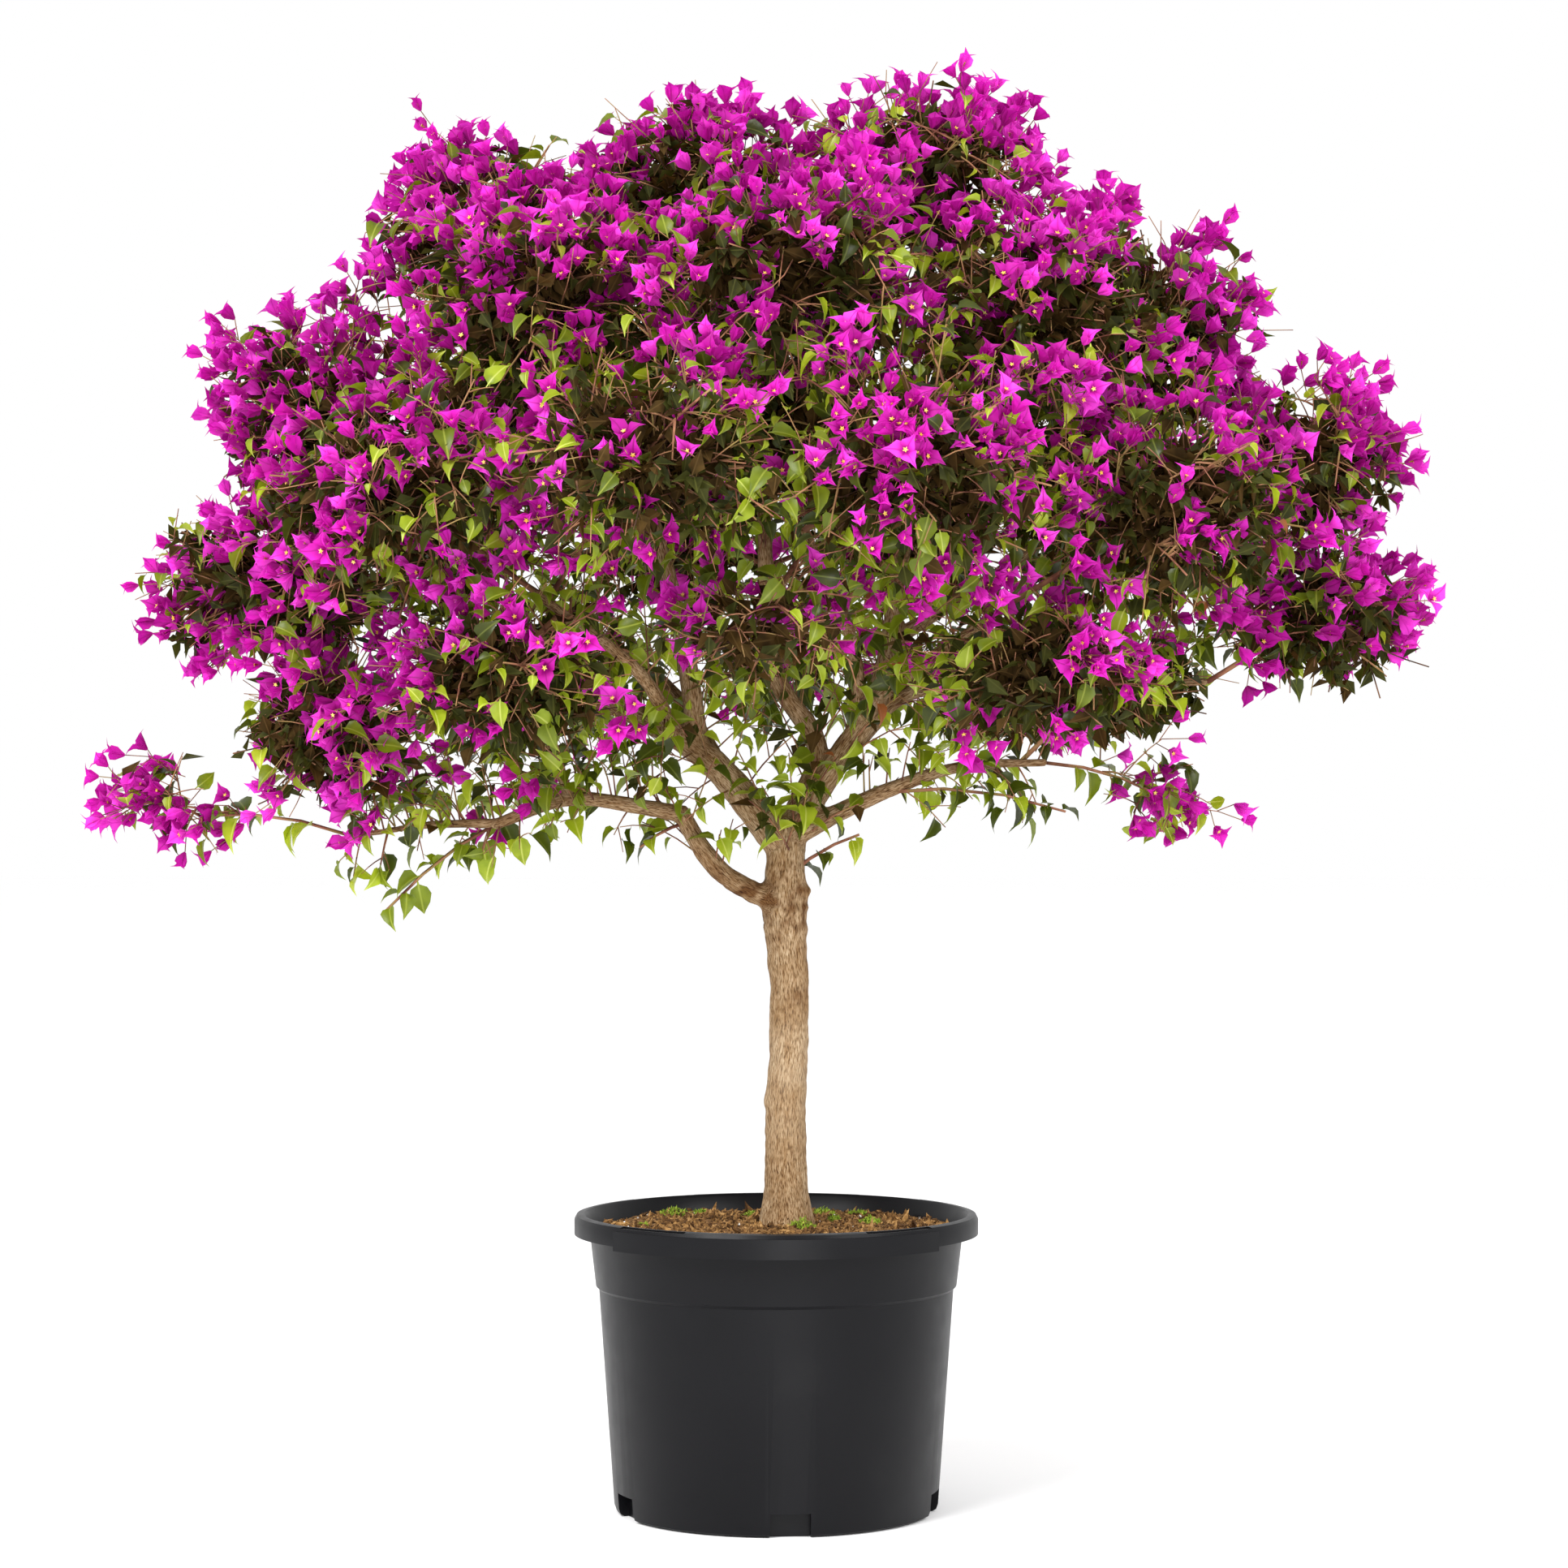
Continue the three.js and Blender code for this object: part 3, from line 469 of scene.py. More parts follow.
# %% Moss
# Each clump: its place, its radius and its height.
MOSS = [
    (30, -34, 15, 11), (-118, 148, 17, 9), (-88, 158, 9, 6), (54, 150, 15, 9), (92, 140, 12, 7),
    (106, 34, 12, 8), (66, 66, 8, 5), (-30, 112, 11, 6), (-150, 20, 7, 5), (140, -90, 7, 4),
]
MOSS_TUFTS = 150
TUFT = np.array([(-0.5, 0, 0), (0.5, 0, 0), (0, 0.4, 0.5), (0, 0, 1.6)])
TUFT_FACES = np.array([(0, 1, 3), (1, 2, 3), (2, 0, 3)])


def moss_clump(x, y, radius, height):
    """A cushion of short green spikes on the soil."""
    places, reach = ground_places(MOSS_TUFTS, radius, x, y)
    dome = height * (1 - (reach / radius) ** 2) * rng.random(MOSS_TUFTS)
    places[:, 2] = places[:, 2] - 0.5 + dome
    upward = unit(UP + rng.normal(size=(MOSS_TUFTS, 3)) * 0.55)
    aside = unit(np.cross(upward, rng.normal(size=(MOSS_TUFTS, 3))))
    axes = np.stack([aside, np.cross(upward, aside), upward], axis=1)
    return stamped(TUFT, TUFT_FACES, places, axes, 1.6 + 2.0 * rng.random(MOSS_TUFTS))


moss = mesh_piece("soil_moss", *joined([moss_clump(*clump) for clump in MOSS]), flat=True)

# %% [markdown]
# Each kind of grain is the same crumbly finish in its own browns: a noise lays dark, middle and
# light colours, and a finer noise roughens the surface. The moss is matt yellow-green.

# %% Soil finish


def soil_finish(name, dark, middle, light):
    made = Finish(name, 0.95, 0.2)
    made.colour(made.speckled(260.0, 6.0, (0.32, dark), (0.5, middle), (0.68, light)))
    made.bump(made.grain(made.place(), 700.0, 4.0), 0.0012, 0.7)
    return made


earth = soil_finish("potting_soil", (58, 38, 20), (116, 84, 48), (158, 120, 74))
dark_crumb = soil_finish("dark_crumb", (40, 26, 14), (82, 56, 30), (112, 80, 44))
bark_chip = soil_finish("bark_chip", (110, 78, 40), (152, 114, 66), (186, 148, 98))
perlite = soil_finish("white_perlite", (206, 202, 192), (228, 225, 218), (246, 244, 240))
dress(soil, "soil", earth)
dress(crumbs, "soil", earth, dark_crumb, bark_chip)
dress(grains, "soil", perlite)
green_moss = Finish("green_moss", 0.8, 0.2)
moss_greens = [(0.35, (84, 104, 26)), (0.5, (126, 150, 40)), (0.66, (172, 188, 74))]
green_moss.colour(green_moss.speckled(220.0, 3.0, *moss_greens))
dress(moss, "foliage", green_moss)
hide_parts("soil")

# %% [markdown]
# ## The limbs
# The stem and its boughs follow the lines that the solid model gives them: a smooth curve through
# a few points, starting on the limb that carries it. The same lines are written here again, with
# each bough's radius at its root and tip.

# %% Lines of the stem and boughs
TRUNK_LINE = [(12.2, 0, 308), (10.5, 0, 423), (15, 1, 568), (9.5, 2, 665), (12, 4, 768)]
TRUNK_FOOT = 318.0
# Each bough: its carrier, where on it the bough starts, its points, and its radius at both ends.
BOUGHS = [
    ("low_left", "trunk", 0.79, [(-51, -8, 702), (-74, -14, 724), (-108, -28, 779)], 13.5, 10),
    ("long_left", "low_left", 0.97, [(-146, -32, 782), (-228, -36, 791), (-312, -38, 763)], 10, 6.5),
    ("left_end", "long_left", 0.98, [(-380, -40, 763), (-470, -40, 750)], 6, 3.2),
    ("left_riser", "long_left", 0.58, [(-240, -34, 822), (-266, -30, 876)], 7, 4.5),
    ("main_left", "trunk", 0.93, [(-82, 0, 841), (-200, 8, 905), (-400, 0, 985)], 21, 6),
    ("up_left", "main_left", 0.3, [(-101, 4, 950), (-150, 8, 1140), (-215, 0, 1290)], 13, 6),
    ("centre", "trunk", 0.97, [(46, 8, 845), (0, 10, 930), (-14, 0, 1120), (-20, -8, 1310)], 14, 6),
    ("right_up", "trunk", 0.96, [(71, -4, 838), (112, -8, 905), (150, -4, 1130), (195, 0, 1330)], 17, 6),
    ("front", "right_up", 0.24, [(84, -70, 962), (30, -260, 1075)], 9, 5),
    ("low_right", "trunk", 0.95, [(88, -10, 785), (199, -14, 826), (300, -14, 832)], 13, 4.5),
    ("long_right", "right_up", 0.2, [(150, 10, 910), (300, 6, 914), (480, 0, 922)], 10, 4.5),
    ("right_shoulder", "right_up", 0.4, [(270, 10, 1060), (410, 0, 1180)], 9, 5),
    ("front_left", "main_left", 0.36, [(-150, -110, 930), (-255, -245, 1010)], 10, 5),
    ("front_right", "right_up", 0.3, [(170, -110, 945), (250, -245, 1000)], 9, 5),
    ("back_left", "main_left", 0.22, [(-120, 120, 915), (-245, 245, 1010)], 11, 5),
    ("back_right", "right_up", 0.16, [(150, 120, 915), (250, 245, 1005)], 11, 5),
    ("back", "centre", 0.3, [(-10, 120, 980), (0, 270, 1070)], 9, 5),
]
TAPER_POWER = 1.3
DIVISIONS = 200


# %% Curves read by distance


class Line:
    """A curve that is read by distance along it, from 0 at its root to 1 at its tip."""

    def __init__(self, point_of):
        self.point_of = point_of
        self.shares = np.linspace(0, 1, DIVISIONS + 1)
        points = np.array([point_of(share) for share in self.shares])
        steps = np.linalg.norm(np.diff(points, axis=0), axis=1)
        self.reached = np.concatenate([[0], np.cumsum(steps)])
        self.length = self.reached[-1]

    def at(self, u):
        return self.point_of(float(np.interp(u * self.length, self.reached, self.shares)))

    def along(self, u):
        low, high = max(0.0, u - 1e-4), min(1.0, u + 1e-4)
        return unit(self.at(high) - self.at(low))


def smooth_line(points):
    """A centripetal Catmull-Rom curve through the points."""
    points = [np.array(point, dtype=float) for point in points]
    padded = [2 * points[0] - points[1], *points, 2 * points[-1] - points[-2]]
    last = len(points) - 1

    def point_of(share):
        span = min(int(share * last), last - 1)
        weight = share * last - span
        p0, p1, p2, p3 = padded[span : span + 4]
        d0, d1, d2 = (math.sqrt(np.linalg.norm(b - a)) for a, b in ((p0, p1), (p1, p2), (p2, p3)))
        t1 = ((p1 - p0) / d0 - (p2 - p0) / (d0 + d1) + (p2 - p1) / d1) * d1
        t2 = ((p2 - p1) / d1 - (p3 - p1) / (d1 + d2) + (p3 - p2) / d2) * d1
        bend = -3 * p1 + 3 * p2 - 2 * t1 - t2
        twist = 2 * p1 - 2 * p2 + t1 + t2
        return p1 + t1 * weight + bend * weight**2 + twist * weight**3

    return Line(point_of)


def trunk_radius(u):
    """The stem's radius: a flared foot, an even shaft and a collar under the fork."""
    z = TRUNK_LINE[0][2] + u * (TRUNK_LINE[-1][2] - TRUNK_LINE[0][2])
    return 22 + 9.5 * math.exp((TRUNK_FOOT - z) / 42) + 4 * math.exp(-(((z - 672) / 32) ** 2))


def bough_radius(root, tip):
    return lambda u: tip + (root - tip) * (1 - u) ** TAPER_POWER


limbs = {"trunk": (smooth_line(TRUNK_LINE), trunk_radius)}
for name, carrier, share, through, root, tip in BOUGHS:
    line = smooth_line([limbs[carrier][0].at(share), *through])
    limbs[name] = (line, bough_radius(root, tip))
wood_length = sum(line.length for line, _ in limbs.values()) * MM
print("limbs:", len(limbs), "wood in metres:", round(wood_length, 2))

# %% [markdown]
# ## Bark
# On the real stem the bark is pale tan with fine cracks that run along the limb, a knob low on
# one side, wrinkles under the fork, and forks that melt into one another. The limbs are tubes,
# fused by a voxel remesh and relaxed, so that the crotches fill. Then each point learns its own
# limb: how far along it lies and where round it. Relief and colour are patterns in those
# coordinates, so the cracks follow every bend.

# %% Tubes


def carried_frames(points):
    """Directions along, across and over a row of points, carried on without twisting."""
    along = unit(np.gradient(points, axis=0))
    aside = [unit(np.cross(along[0], [0.3, 1.0, 0.2]))]
    for direction in along[1:]:
        aside.append(unit(aside[-1] - direction * np.dot(aside[-1], direction)))
    aside = np.array(aside)
    return along, aside, np.cross(along, aside)


def limb_tube(line, radius_of, spacing, sides):
    """Points and triangles of one closed limb."""
    count = max(4, int(line.length / spacing))
    shares = np.linspace(0, 1, count + 1)
    centres = np.array([line.at(u) for u in shares])
    along, aside, over = carried_frames(centres)
    radii = np.array([radius_of(u) for u in shares])
    angles = np.arange(sides) * 2 * math.pi / sides
    ring = np.cos(angles)[None, :, None] * aside[:, None] + np.sin(angles)[None, :, None] * over[:, None]
    points = (centres[:, None] + ring * radii[:, None, None]).reshape(-1, 3)
    points = np.concatenate([points, [centres[0], centres[-1] + along[-1] * radii[-1] * 0.6]])
    rows, turns = np.meshgrid(np.arange(count), np.arange(sides), indexing="ij")
    a = rows * sides + turns
    b = rows * sides + (turns + 1) % sides
    walls = np.concatenate([np.stack([a, b, b + sides], -1), np.stack([a, b + sides, a + sides], -1)])
    turn = np.arange(sides)
    root, tip = len(points) - 2, len(points) - 1
    end = count * sides
    caps = np.concatenate([
        np.stack([(turn + 1) % sides, turn, np.full(sides, root)], -1),
        np.stack([end + turn, end + (turn + 1) % sides, np.full(sides, tip)], -1),
    ])
    return points, np.concatenate([walls.reshape(-1, 3), caps])


# %% Fused wood
WOOD_VOXEL = 2.45
TUBE = {"spacing": 9.0, "sides": 20}
SAMPLE_SPACING = 6
tubes = [limb_tube(line, radius_of, **TUBE) for line, radius_of in limbs.values()]
wood = mesh_piece("bark_wood", *joined(tubes))
apply_modifier(wood, "REMESH", mode="VOXEL", voxel_size=WOOD_VOXEL * MM)
apply_modifier(wood, "SMOOTH", factor=0.5, iterations=6)

# Samples along each limb: the centre, three directions, how far along, and the radius.
samples = []
for line, radius_of in limbs.values():
    shares = np.linspace(0, 1, max(12, int(line.length / SAMPLE_SPACING)))
    centres = np.array([line.at(u) for u in shares])
    for centre, along, aside, over, u in zip(centres, *carried_frames(centres), shares):
        samples.append((centre, along, aside, over, u * line.length, radius_of(u)))
tree = kdtree.KDTree(len(samples))
for i, sample in enumerate(samples):
    tree.insert(sample[0], i)
tree.balance()
print("wood points:", len(wood.data.vertices))

# %% Relief of the bark
KNOB = {"place": (-12, -4, 455), "radius": 11.0, "height": 4.5}
BUD = {"place": (36, -6, 690), "radius": 7.0, "height": 5.0}
KNOT = {"place": (24, -22, 572), "radius": 5.5, "height": 1.6}
CRACK_DEPTH = 0.6
LUMP_DEPTH = 1.5
WRINKLE_DEPTH = 0.8
ALONG_SHRINK = 0.18
TRUNK_RADIUS = 22
COLLAR = {"height": 672.0, "spread": 36}
PALE_MIDDLE = {"height": 475.0, "spread": 75}


def limb_place(point):
    """Where a point lies in its limb's own coordinates, and that limb's radius there."""
    near = sorted(tree.find_n(point, 4), key=lambda hit: hit[2] / samples[hit[1]][5])[0]
    centre, along, aside, over, reached, radius = samples[near[1]]
    offset = np.array(point) - centre
    grain = (offset @ aside, offset @ over, ALONG_SHRINK * (reached + offset @ along))
    return grain, radius


def swelling(point, place, radius, height):
    distance = (Vector(point) - Vector(place)).length
    return height * math.exp(-((distance / radius) ** 2))


def knot_ring(point, place, radius, height):
    """A healed twig's scar: a raised ring round a dip."""
    distance = (Vector(point) - Vector(place)).length
    return height * math.exp(-(((distance - radius) / 2.2) ** 2))


def band(z, height, spread):
    """How near a height lies to a band round the stem, from 0 to 1."""
    return math.exp(-(((z - height) / spread) ** 2))


# %% Lifting the bark
count = len(wood.data.vertices)
normals = np.empty(count * 3, dtype=np.float32)
wood.data.vertices.foreach_get("normal", normals)
normals = normals.reshape(-1, 3)
grains_of, tones, places = (np.zeros((count, 3), dtype=np.float32) for _ in range(3))
for i, vertex in enumerate(wood.data.vertices):
    point = vertex.co / MM
    grain, radius = limb_place(point)
    seat = Vector(grain)
    size = min(1.0, radius / TRUNK_RADIUS)
    crack = 1 - min(1.0, 3.2 * abs(noise.noise(seat / 5.2)))
    fine = 1 - min(1.0, 3.0 * abs(noise.noise(seat / 3.1 + Vector((9, 4, 2)))))
    lump = noise.noise(point / 27) + 0.6 * noise.noise(point / 11)
    collar = band(point.z, **COLLAR)
    wrinkle = collar * math.sin(point.z / 3.4 + 4 * noise.noise(point / 16))
    height = LUMP_DEPTH * lump * size - CRACK_DEPTH * size * (0.7 * crack**2 + 0.3 * fine**2)
    marks = WRINKLE_DEPTH * wrinkle + swelling(point, **KNOB) + swelling(point, **BUD)
    height += marks + knot_ring(point, **KNOT)
    mottle = max(0.0, 0.5 + 1.6 * noise.noise(point / 12))
    knot_shade = swelling(point, KNOT["place"], 8.0, 0.9)
    # The first tone darkens the bark in patches at the collar, round the knot and on thin boughs, where
    # it is partly older wood and partly painted shade.
    tones[i, 0] = min(1.0, 0.9 * collar * mottle + knot_shade + 0.6 * (1 - size))
    tones[i, 1] = band(point.z, **PALE_MIDDLE) * min(1.0, 0.6 + noise.noise(point / 30))
    places[i] = np.array(point) + normals[i] * height
    grains_of[i] = seat * MM
wood.data.vertices.foreach_set("co", (places * MM).ravel())
for layer, values in (("grain", grains_of), ("tone", tones)):
    made = wood.data.attributes.new(layer, "FLOAT_VECTOR", "POINT")
    made.data.foreach_set("vector", values.ravel())
wood.data.polygons.foreach_set("use_smooth", np.full(len(wood.data.polygons), True))
wood.data.update()

# %% [markdown]
# The bark's colour follows the same coordinates as its relief: brown cracks between pale plates,
# with corky patches, darker patches at the collar, thin boughs darker, partly as older wood and
# partly as painted shade, and a paler, greyer stretch half-way up the stem.

# %% Bark finish
bark = Finish("tan_bark", 0.85, 0.2)
fissure = bark.grain(bark.place("grain"), 900.0, 5.0)
cork = bark.grain(bark.place("grain"), 260.0, 3.0)
plates = [(0.34, (86, 62, 37)), (0.44, (138, 112, 81)), (0.54, (166, 144, 115)), (0.68, (184, 165, 139))]
cork_shade = bark.ramp(cork, (0.34, (206, 184, 152)), (0.52, (255, 253, 250)))
bark_patches = bark.speckled(24.0, 4.0, (0.35, (214, 196, 170)), (0.6, (255, 252, 248)))
worn = bark.mixed(0.8, bark.ramp(fissure, *plates), cork_shade, "MULTIPLY")
worn = bark.mixed(0.8, worn, bark_patches, "MULTIPLY")
# Darker wood: older wood, and on the thin boughs painted shade as well.
old_wood_and_painted_shade = bark.mixed(1.0, worn, paint(168, 140, 106), "MULTIPLY")
greyed = bark.mixed(0.3, worn, paint(178, 160, 134))
tone_of = bark.split(bark.place("tone"))
pale = bark.mixed(tone_of["Y"], worn, greyed)
bark.colour(bark.mixed(tone_of["X"], pale, old_wood_and_painted_shade))
bark.bump(fissure, 0.0006, 0.8)
dress(wood, "bark", bark)
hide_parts("trunk", *[f"bough_{name}" for name, *_ in BOUGHS])

# %% [markdown]
# ## How the crown grows
# Each mass of the crown grows from one limb by one rule. A stem runs to the mass's heart, and
# shoots leave its upper part in directions spread evenly over a sphere. The solid model grows
# the first shoots by the same seeded draws. Here each shoot goes on: side twigs reach evenly to
# the mass's surface, short twigs leave those, and leaves and panicles of flowers stand on them.

# %% The masses
# Each row: the mass, its limb, where on the limb its stem starts, its heart, its reach along
# each axis, its shoots, how much it flowers, and the tips of shoots that lead out of it.


def dense(name, carrier, share, heart, reach, shoots, bloom, leaders=()):
    """A mass: its limb, its heart, its reach on each side, its shoots and how much it flowers."""
    return {
        "name": f"mass_{name}", "carrier": carrier, "share": share, "heart": heart, "reach": reach,
        "shoots": shoots, "bloom": bloom, "leaders": leaders, "fill": 1.0, "stem_leaves": 0,
    }


def airy(*shape):
    """An open mass, with the sky between its shoots."""
    return {**dense(*shape), "fill": 0.6}


def spray(name, carrier, share, heart, reach, stem_leaves, shoots=0, leaders=()):
    """One long twig with leaves along it, with or without flowers at its end."""
    mass = dense(name, carrier, share, heart, reach, shoots, 1.0, leaders)
    return {**mass, "name": f"spray_{name}", "fill": 0.3, "stem_leaves": stem_leaves}


MASSES = [
    dense("top_left", "up_left", 1, (-318, 0, 1420), (160, 165, 140), 6, 0.9,
          [(-336, -10, 1524), (-392, 10, 1505)]),
    dense("top_middle", "centre", 1, (-90, -10, 1470), (150, 160, 135), 6, 0.9,
          [(-92, -20, 1542), (26, 0, 1545)]),
    dense("top_right", "right_up", 1, (160, 0, 1480), (160, 165, 135), 6, 0.95,
          [(220, 0, 1562), (285, 10, 1532)]),
    dense("right_top", "right_shoulder", 1, (410, 0, 1315), (165, 170, 135), 6, 1.0,
          [(350, -10, 1462), (455, 0, 1412), (515, 0, 1345)]),
    dense("left_shoulder", "main_left", 1, (-505, -10, 1225), (145, 160, 130), 6, 1.0,
          [(-615, -20, 1285), (-618, 0, 1225)]),
    dense("left_middle", "main_left", 0.95, (-560, 0, 1035), (165, 165, 130), 6, 0.9,
          [(-690, 0, 985), (-610, -10, 1110), (-640, 0, 925)]),
    dense("right_middle", "right_shoulder", 0.95, (585, 0, 1165), (135, 155, 110), 6, 1.0,
          [(680, 0, 1175)]),
    dense("right_outer", "long_right", 1, (610, 0, 998), (145, 145, 100), 6, 0.9,
          [(712, 0, 1040), (705, 0, 985)]),
    dense("top_front", "centre", 0.9, (15, -275, 1350), (180, 165, 140), 9, 0.75),
    dense("top_front_left", "up_left", 0.94, (-245, -240, 1320), (165, 160, 140), 9, 0.75),
    dense("top_front_right", "right_up", 0.94, (280, -235, 1310), (165, 160, 140), 9, 0.75),
    dense("top_back", "centre", 0.94, (20, 270, 1355), (180, 165, 140), 6, 0.8),
    dense("top_back_left", "up_left", 0.88, (-245, 235, 1325), (165, 160, 140), 6, 0.8),
    dense("top_back_right", "right_up", 0.88, (285, 230, 1320), (165, 160, 140), 6, 0.8),
    dense("left_front", "front_left", 1, (-400, -310, 1115), (170, 160, 135), 9, 0.65),
    dense("front_left", "front_left", 0.93, (-130, -435, 1140), (170, 155, 140), 9, 0.6),
    dense("front_right", "front", 1, (145, -435, 1130), (170, 155, 140), 9, 0.6),
    dense("right_front", "front_right", 1, (415, -305, 1095), (170, 160, 135), 9, 0.65),
    dense("right_back", "back_right", 1, (425, 310, 1110), (170, 160, 135), 6, 0.7),
    dense("back_right", "back", 1, (150, 435, 1130), (170, 155, 140), 6, 0.7),
    dense("back_left", "back", 0.93, (-145, 435, 1130), (170, 155, 140), 6, 0.7),
    dense("left_back", "back_left", 1, (-415, 305, 1115), (170, 160, 135), 6, 0.7),
    dense("left_inner", "main_left", 0.86, (-320, -50, 1190), (140, 130, 135), 4, 0.4),
    dense("centre", "centre", 0.72, (0, 20, 1210), (150, 150, 135), 4, 0.3),
    dense("right_inner", "right_shoulder", 0.75, (320, -40, 1165), (140, 135, 125), 4, 0.4),
    dense("left_low", "main_left", 0.9, (-495, -60, 870), (125, 135, 105), 5, 0.75),
    dense("low_front_left", "front_left", 0.86, (-290, -300, 920), (155, 135, 95), 5, 0.62),
    dense("low_front_right", "front_right", 0.93, (275, -315, 925), (155, 135, 90), 5, 0.62),
    dense("low_right", "low_right", 0.9, (370, 30, 925), (145, 140, 72), 5, 0.25),
    dense("low_back_right", "back_right", 0.92, (300, 310, 920), (155, 135, 90), 5, 0.25),
    dense("low_back_left", "back_left", 0.92, (-310, 300, 920), (150, 135, 95), 5, 0.45),
    airy("low_front", "front", 0.93, (-15, -370, 975), (140, 115, 75), 5, 0.35),
    airy("low_back", "back", 0.86, (0, 375, 965), (145, 120, 85), 5, 0.4),
    airy("low_left_inner", "left_riser", 1, (-255, 10, 965), (120, 120, 80), 5, 0.45),
    spray("left_tip", "left_end", 1, (-640, -20, 772), (100, 70, 66), 8, 4, [(-708, -20, 800)]),
    spray("right_drooping", "low_right", 1, (425, -40, 795), (90, 80, 80), 4, 4),
    spray("hanging_left", "long_left", 0.98, (-430, -60, 668), (75, 50, 50), 9),
    spray("right_low", "low_right", 0.4, (318, -70, 778), (50, 50, 45), 9),
    spray("trunk_right", "trunk", 0.86, (92, -20, 752), (40, 40, 40), 5),
    spray("trunk_left", "low_left", 0.9, (-150, -50, 738), (45, 40, 40), 5),
]
print("masses:", len(MASSES))

# %% The rule
GOLDEN_ANGLE = math.pi * (3 - math.sqrt(5))
CELL_MARGIN = 1.0
BLADE_ROOM = 38.0
WORD = 0xFFFFFFFF


def seeded(seed):
    """A stream of draws from 0 to 1 that any language can repeat."""
    state = seed & WORD

    def draw():
        nonlocal state
        state = (state + 0x6D2B79F5) & WORD
        t = ((state ^ (state >> 15)) * (state | 1)) & WORD
        t ^= (t + (((t ^ (t >> 7)) * (t | 61)) & WORD)) & WORD
        return ((t ^ (t >> 14)) & WORD) / 4294967296

    return draw


def arch(start, end, lift):
    """A twig's three ruling points: it arches up by a share of its length."""
    start, end = np.asarray(start, dtype=float), np.asarray(end, dtype=float)
    middle = (start + end) / 2 + UP * lift * np.linalg.norm(end - start)
    return np.array([start, middle, end])


def on_arch(twig, t):
    """A point on a twig, a share t of the way along."""
    return twig[0] * (1 - t) ** 2 + twig[1] * 2 * t * (1 - t) + twig[2] * t**2


def along_arch(twig, t):
    return unit((twig[1] - twig[0]) * (1 - t) + (twig[2] - twig[1]) * t)


def arch_line(twig):
    return Line(lambda share: on_arch(twig, share))


# %% Directions, and room between the masses


def spread_direction(k, n, draw):
    z = 1 - (2 * k + 1) / n
    angle = k * GOLDEN_ANGLE + 0.7 * draw()
    flat = math.sqrt(1 - z * z)
    return unit(np.array([flat * math.cos(angle), flat * math.sin(angle), z + 0.25 * (draw() - 0.5)]))


def cell_planes(mass):
    """The planes between this mass's heart and the others, as normals and limits."""
    heart = np.array(mass["heart"], dtype=float)
    size = np.mean(mass["reach"]) ** 2
    normals, limits = [], []
    for other in MASSES:
        if other is mass:
            continue
        away = np.array(other["heart"]) - heart
        distance = np.linalg.norm(away)
        share = (distance**2 + size - np.mean(other["reach"]) ** 2) / (2 * distance)
        normals.append(away / distance)
        limits.append(normals[-1] @ heart + share - CELL_MARGIN)
    return np.array(normals), np.array(limits)


def room_along(line, heart, planes, room):
    """How often a line fits between the heart and the planes, with some room left."""
    normals, limits = planes
    climb = normals @ line
    facing = climb > 1e-9
    return np.min((limits - room - normals @ heart)[facing] / climb[facing], initial=np.inf)


def first_shoots(mass, index):
    """The mass's stem and its shoots, as the solid model has them."""
    root = limbs[mass["carrier"]][0].at(mass["share"])
    heart = np.array(mass["heart"], dtype=float)
    planes = cell_planes(mass)
    stem = arch(root, heart, 0.12 if mass["stem_leaves"] else 0.02)
    stem_line = arch_line(stem)
    shoots = [arch(heart, tip, 0.06) for tip in mass["leaders"]]
    for k in range(mass["shoots"]):
        draw = seeded(1000 * (index + 1) + k)
        line = spread_direction(k, mass["shoots"], draw) * mass["reach"]
        base = stem_line.at(0.7 + 0.3 * draw())
        length = min(0.8 + 0.14 * draw(), room_along(line, heart, planes, BLADE_ROOM))
        shoots.append(arch(base, heart + line * length, 0.1))
    return stem, shoots, planes


# %% [markdown]
# ## Twigs, leaves and flowers on them
# A twig carries its leaves in turn on both sides, each leaning forward and hanging a little.
# A flower is three papery bracts round a tiny cream star, and flowers stand in loose panicles
# at the twigs' tips, facing out of the crown. Inside each mass, old twigs with plain small
# leaves stand for the shaded wood; the twigs are darker and the leaves dull brown and olive, as
# painted shade. The numbers below set how close everything grows. A pair is a least value and a
# spread, or a smallest and a largest count.

# %% Measures of growth
# How many grow in a full mass, or on one twig.
SIDE_TWIGS, SHORT_TWIGS, INNER_TWIGS, BARE_TWIGS = 56, 3, 96, 34
INNER_LEAVES, AIRY_INNER_LEAVES = 10, 3
PANICLE, SMALL_PANICLE, TUFT_FLOWERS = (4, 8), (2, 5), 8
# Lengths in millimetres.
LEAF_STEP, FLOWERING_LEAF_STEP, CLOSE_LEAF_STEP = 26.0, 38.0, 19
LEAF_LENGTH, SPRAY_LEAF, FLOWER_SIZE = 34.0, 41.0, 22.6
# Shares of a mass's reach: how far its side twigs go, and where its shade lies.
OUTER_REACH, TUFT_REACH, INNER_REACH = (0.33, 0.28), (0.66, 0.12), (0.6, 0.55)
SHADE_DEPTH, OLIVE_DEPTH, SHADE_LIMIT = 0.55, 0.45, 0.82
SPRAY_SHARE, SPRAY_HEART = 0.6, 0.75
# How many side twigs are long, how much of a leading shoot is kept, where its second panicle
# stands, and how far a bowed twig bends.
TUFT_SHARE, LEADER_SHARE, LOWER_PANICLE, TWIG_BOW = 0.12, 0.88, 0.82, 0.16
# The places of the two finishes of painted shade among the leaf finishes.
SHADE_TINT, OLIVE_SHADE_TINT = 5, 6
CROWN_HEART = np.array([0.0, 0.0, 1060.0])
# Each kind of twig's radius at its root and tip.
THICKNESS = {
    "stem": (3.6, 2.4), "spray": (2.6, 1.7), "shoot": (2.2, 1.2), "side": (1.7, 0.9),
    "short": (1.0, 0.6), "bare": (0.9, 0.55), "bough": (1.2, 0.7), "sprout": (1.3, 0.7),
}
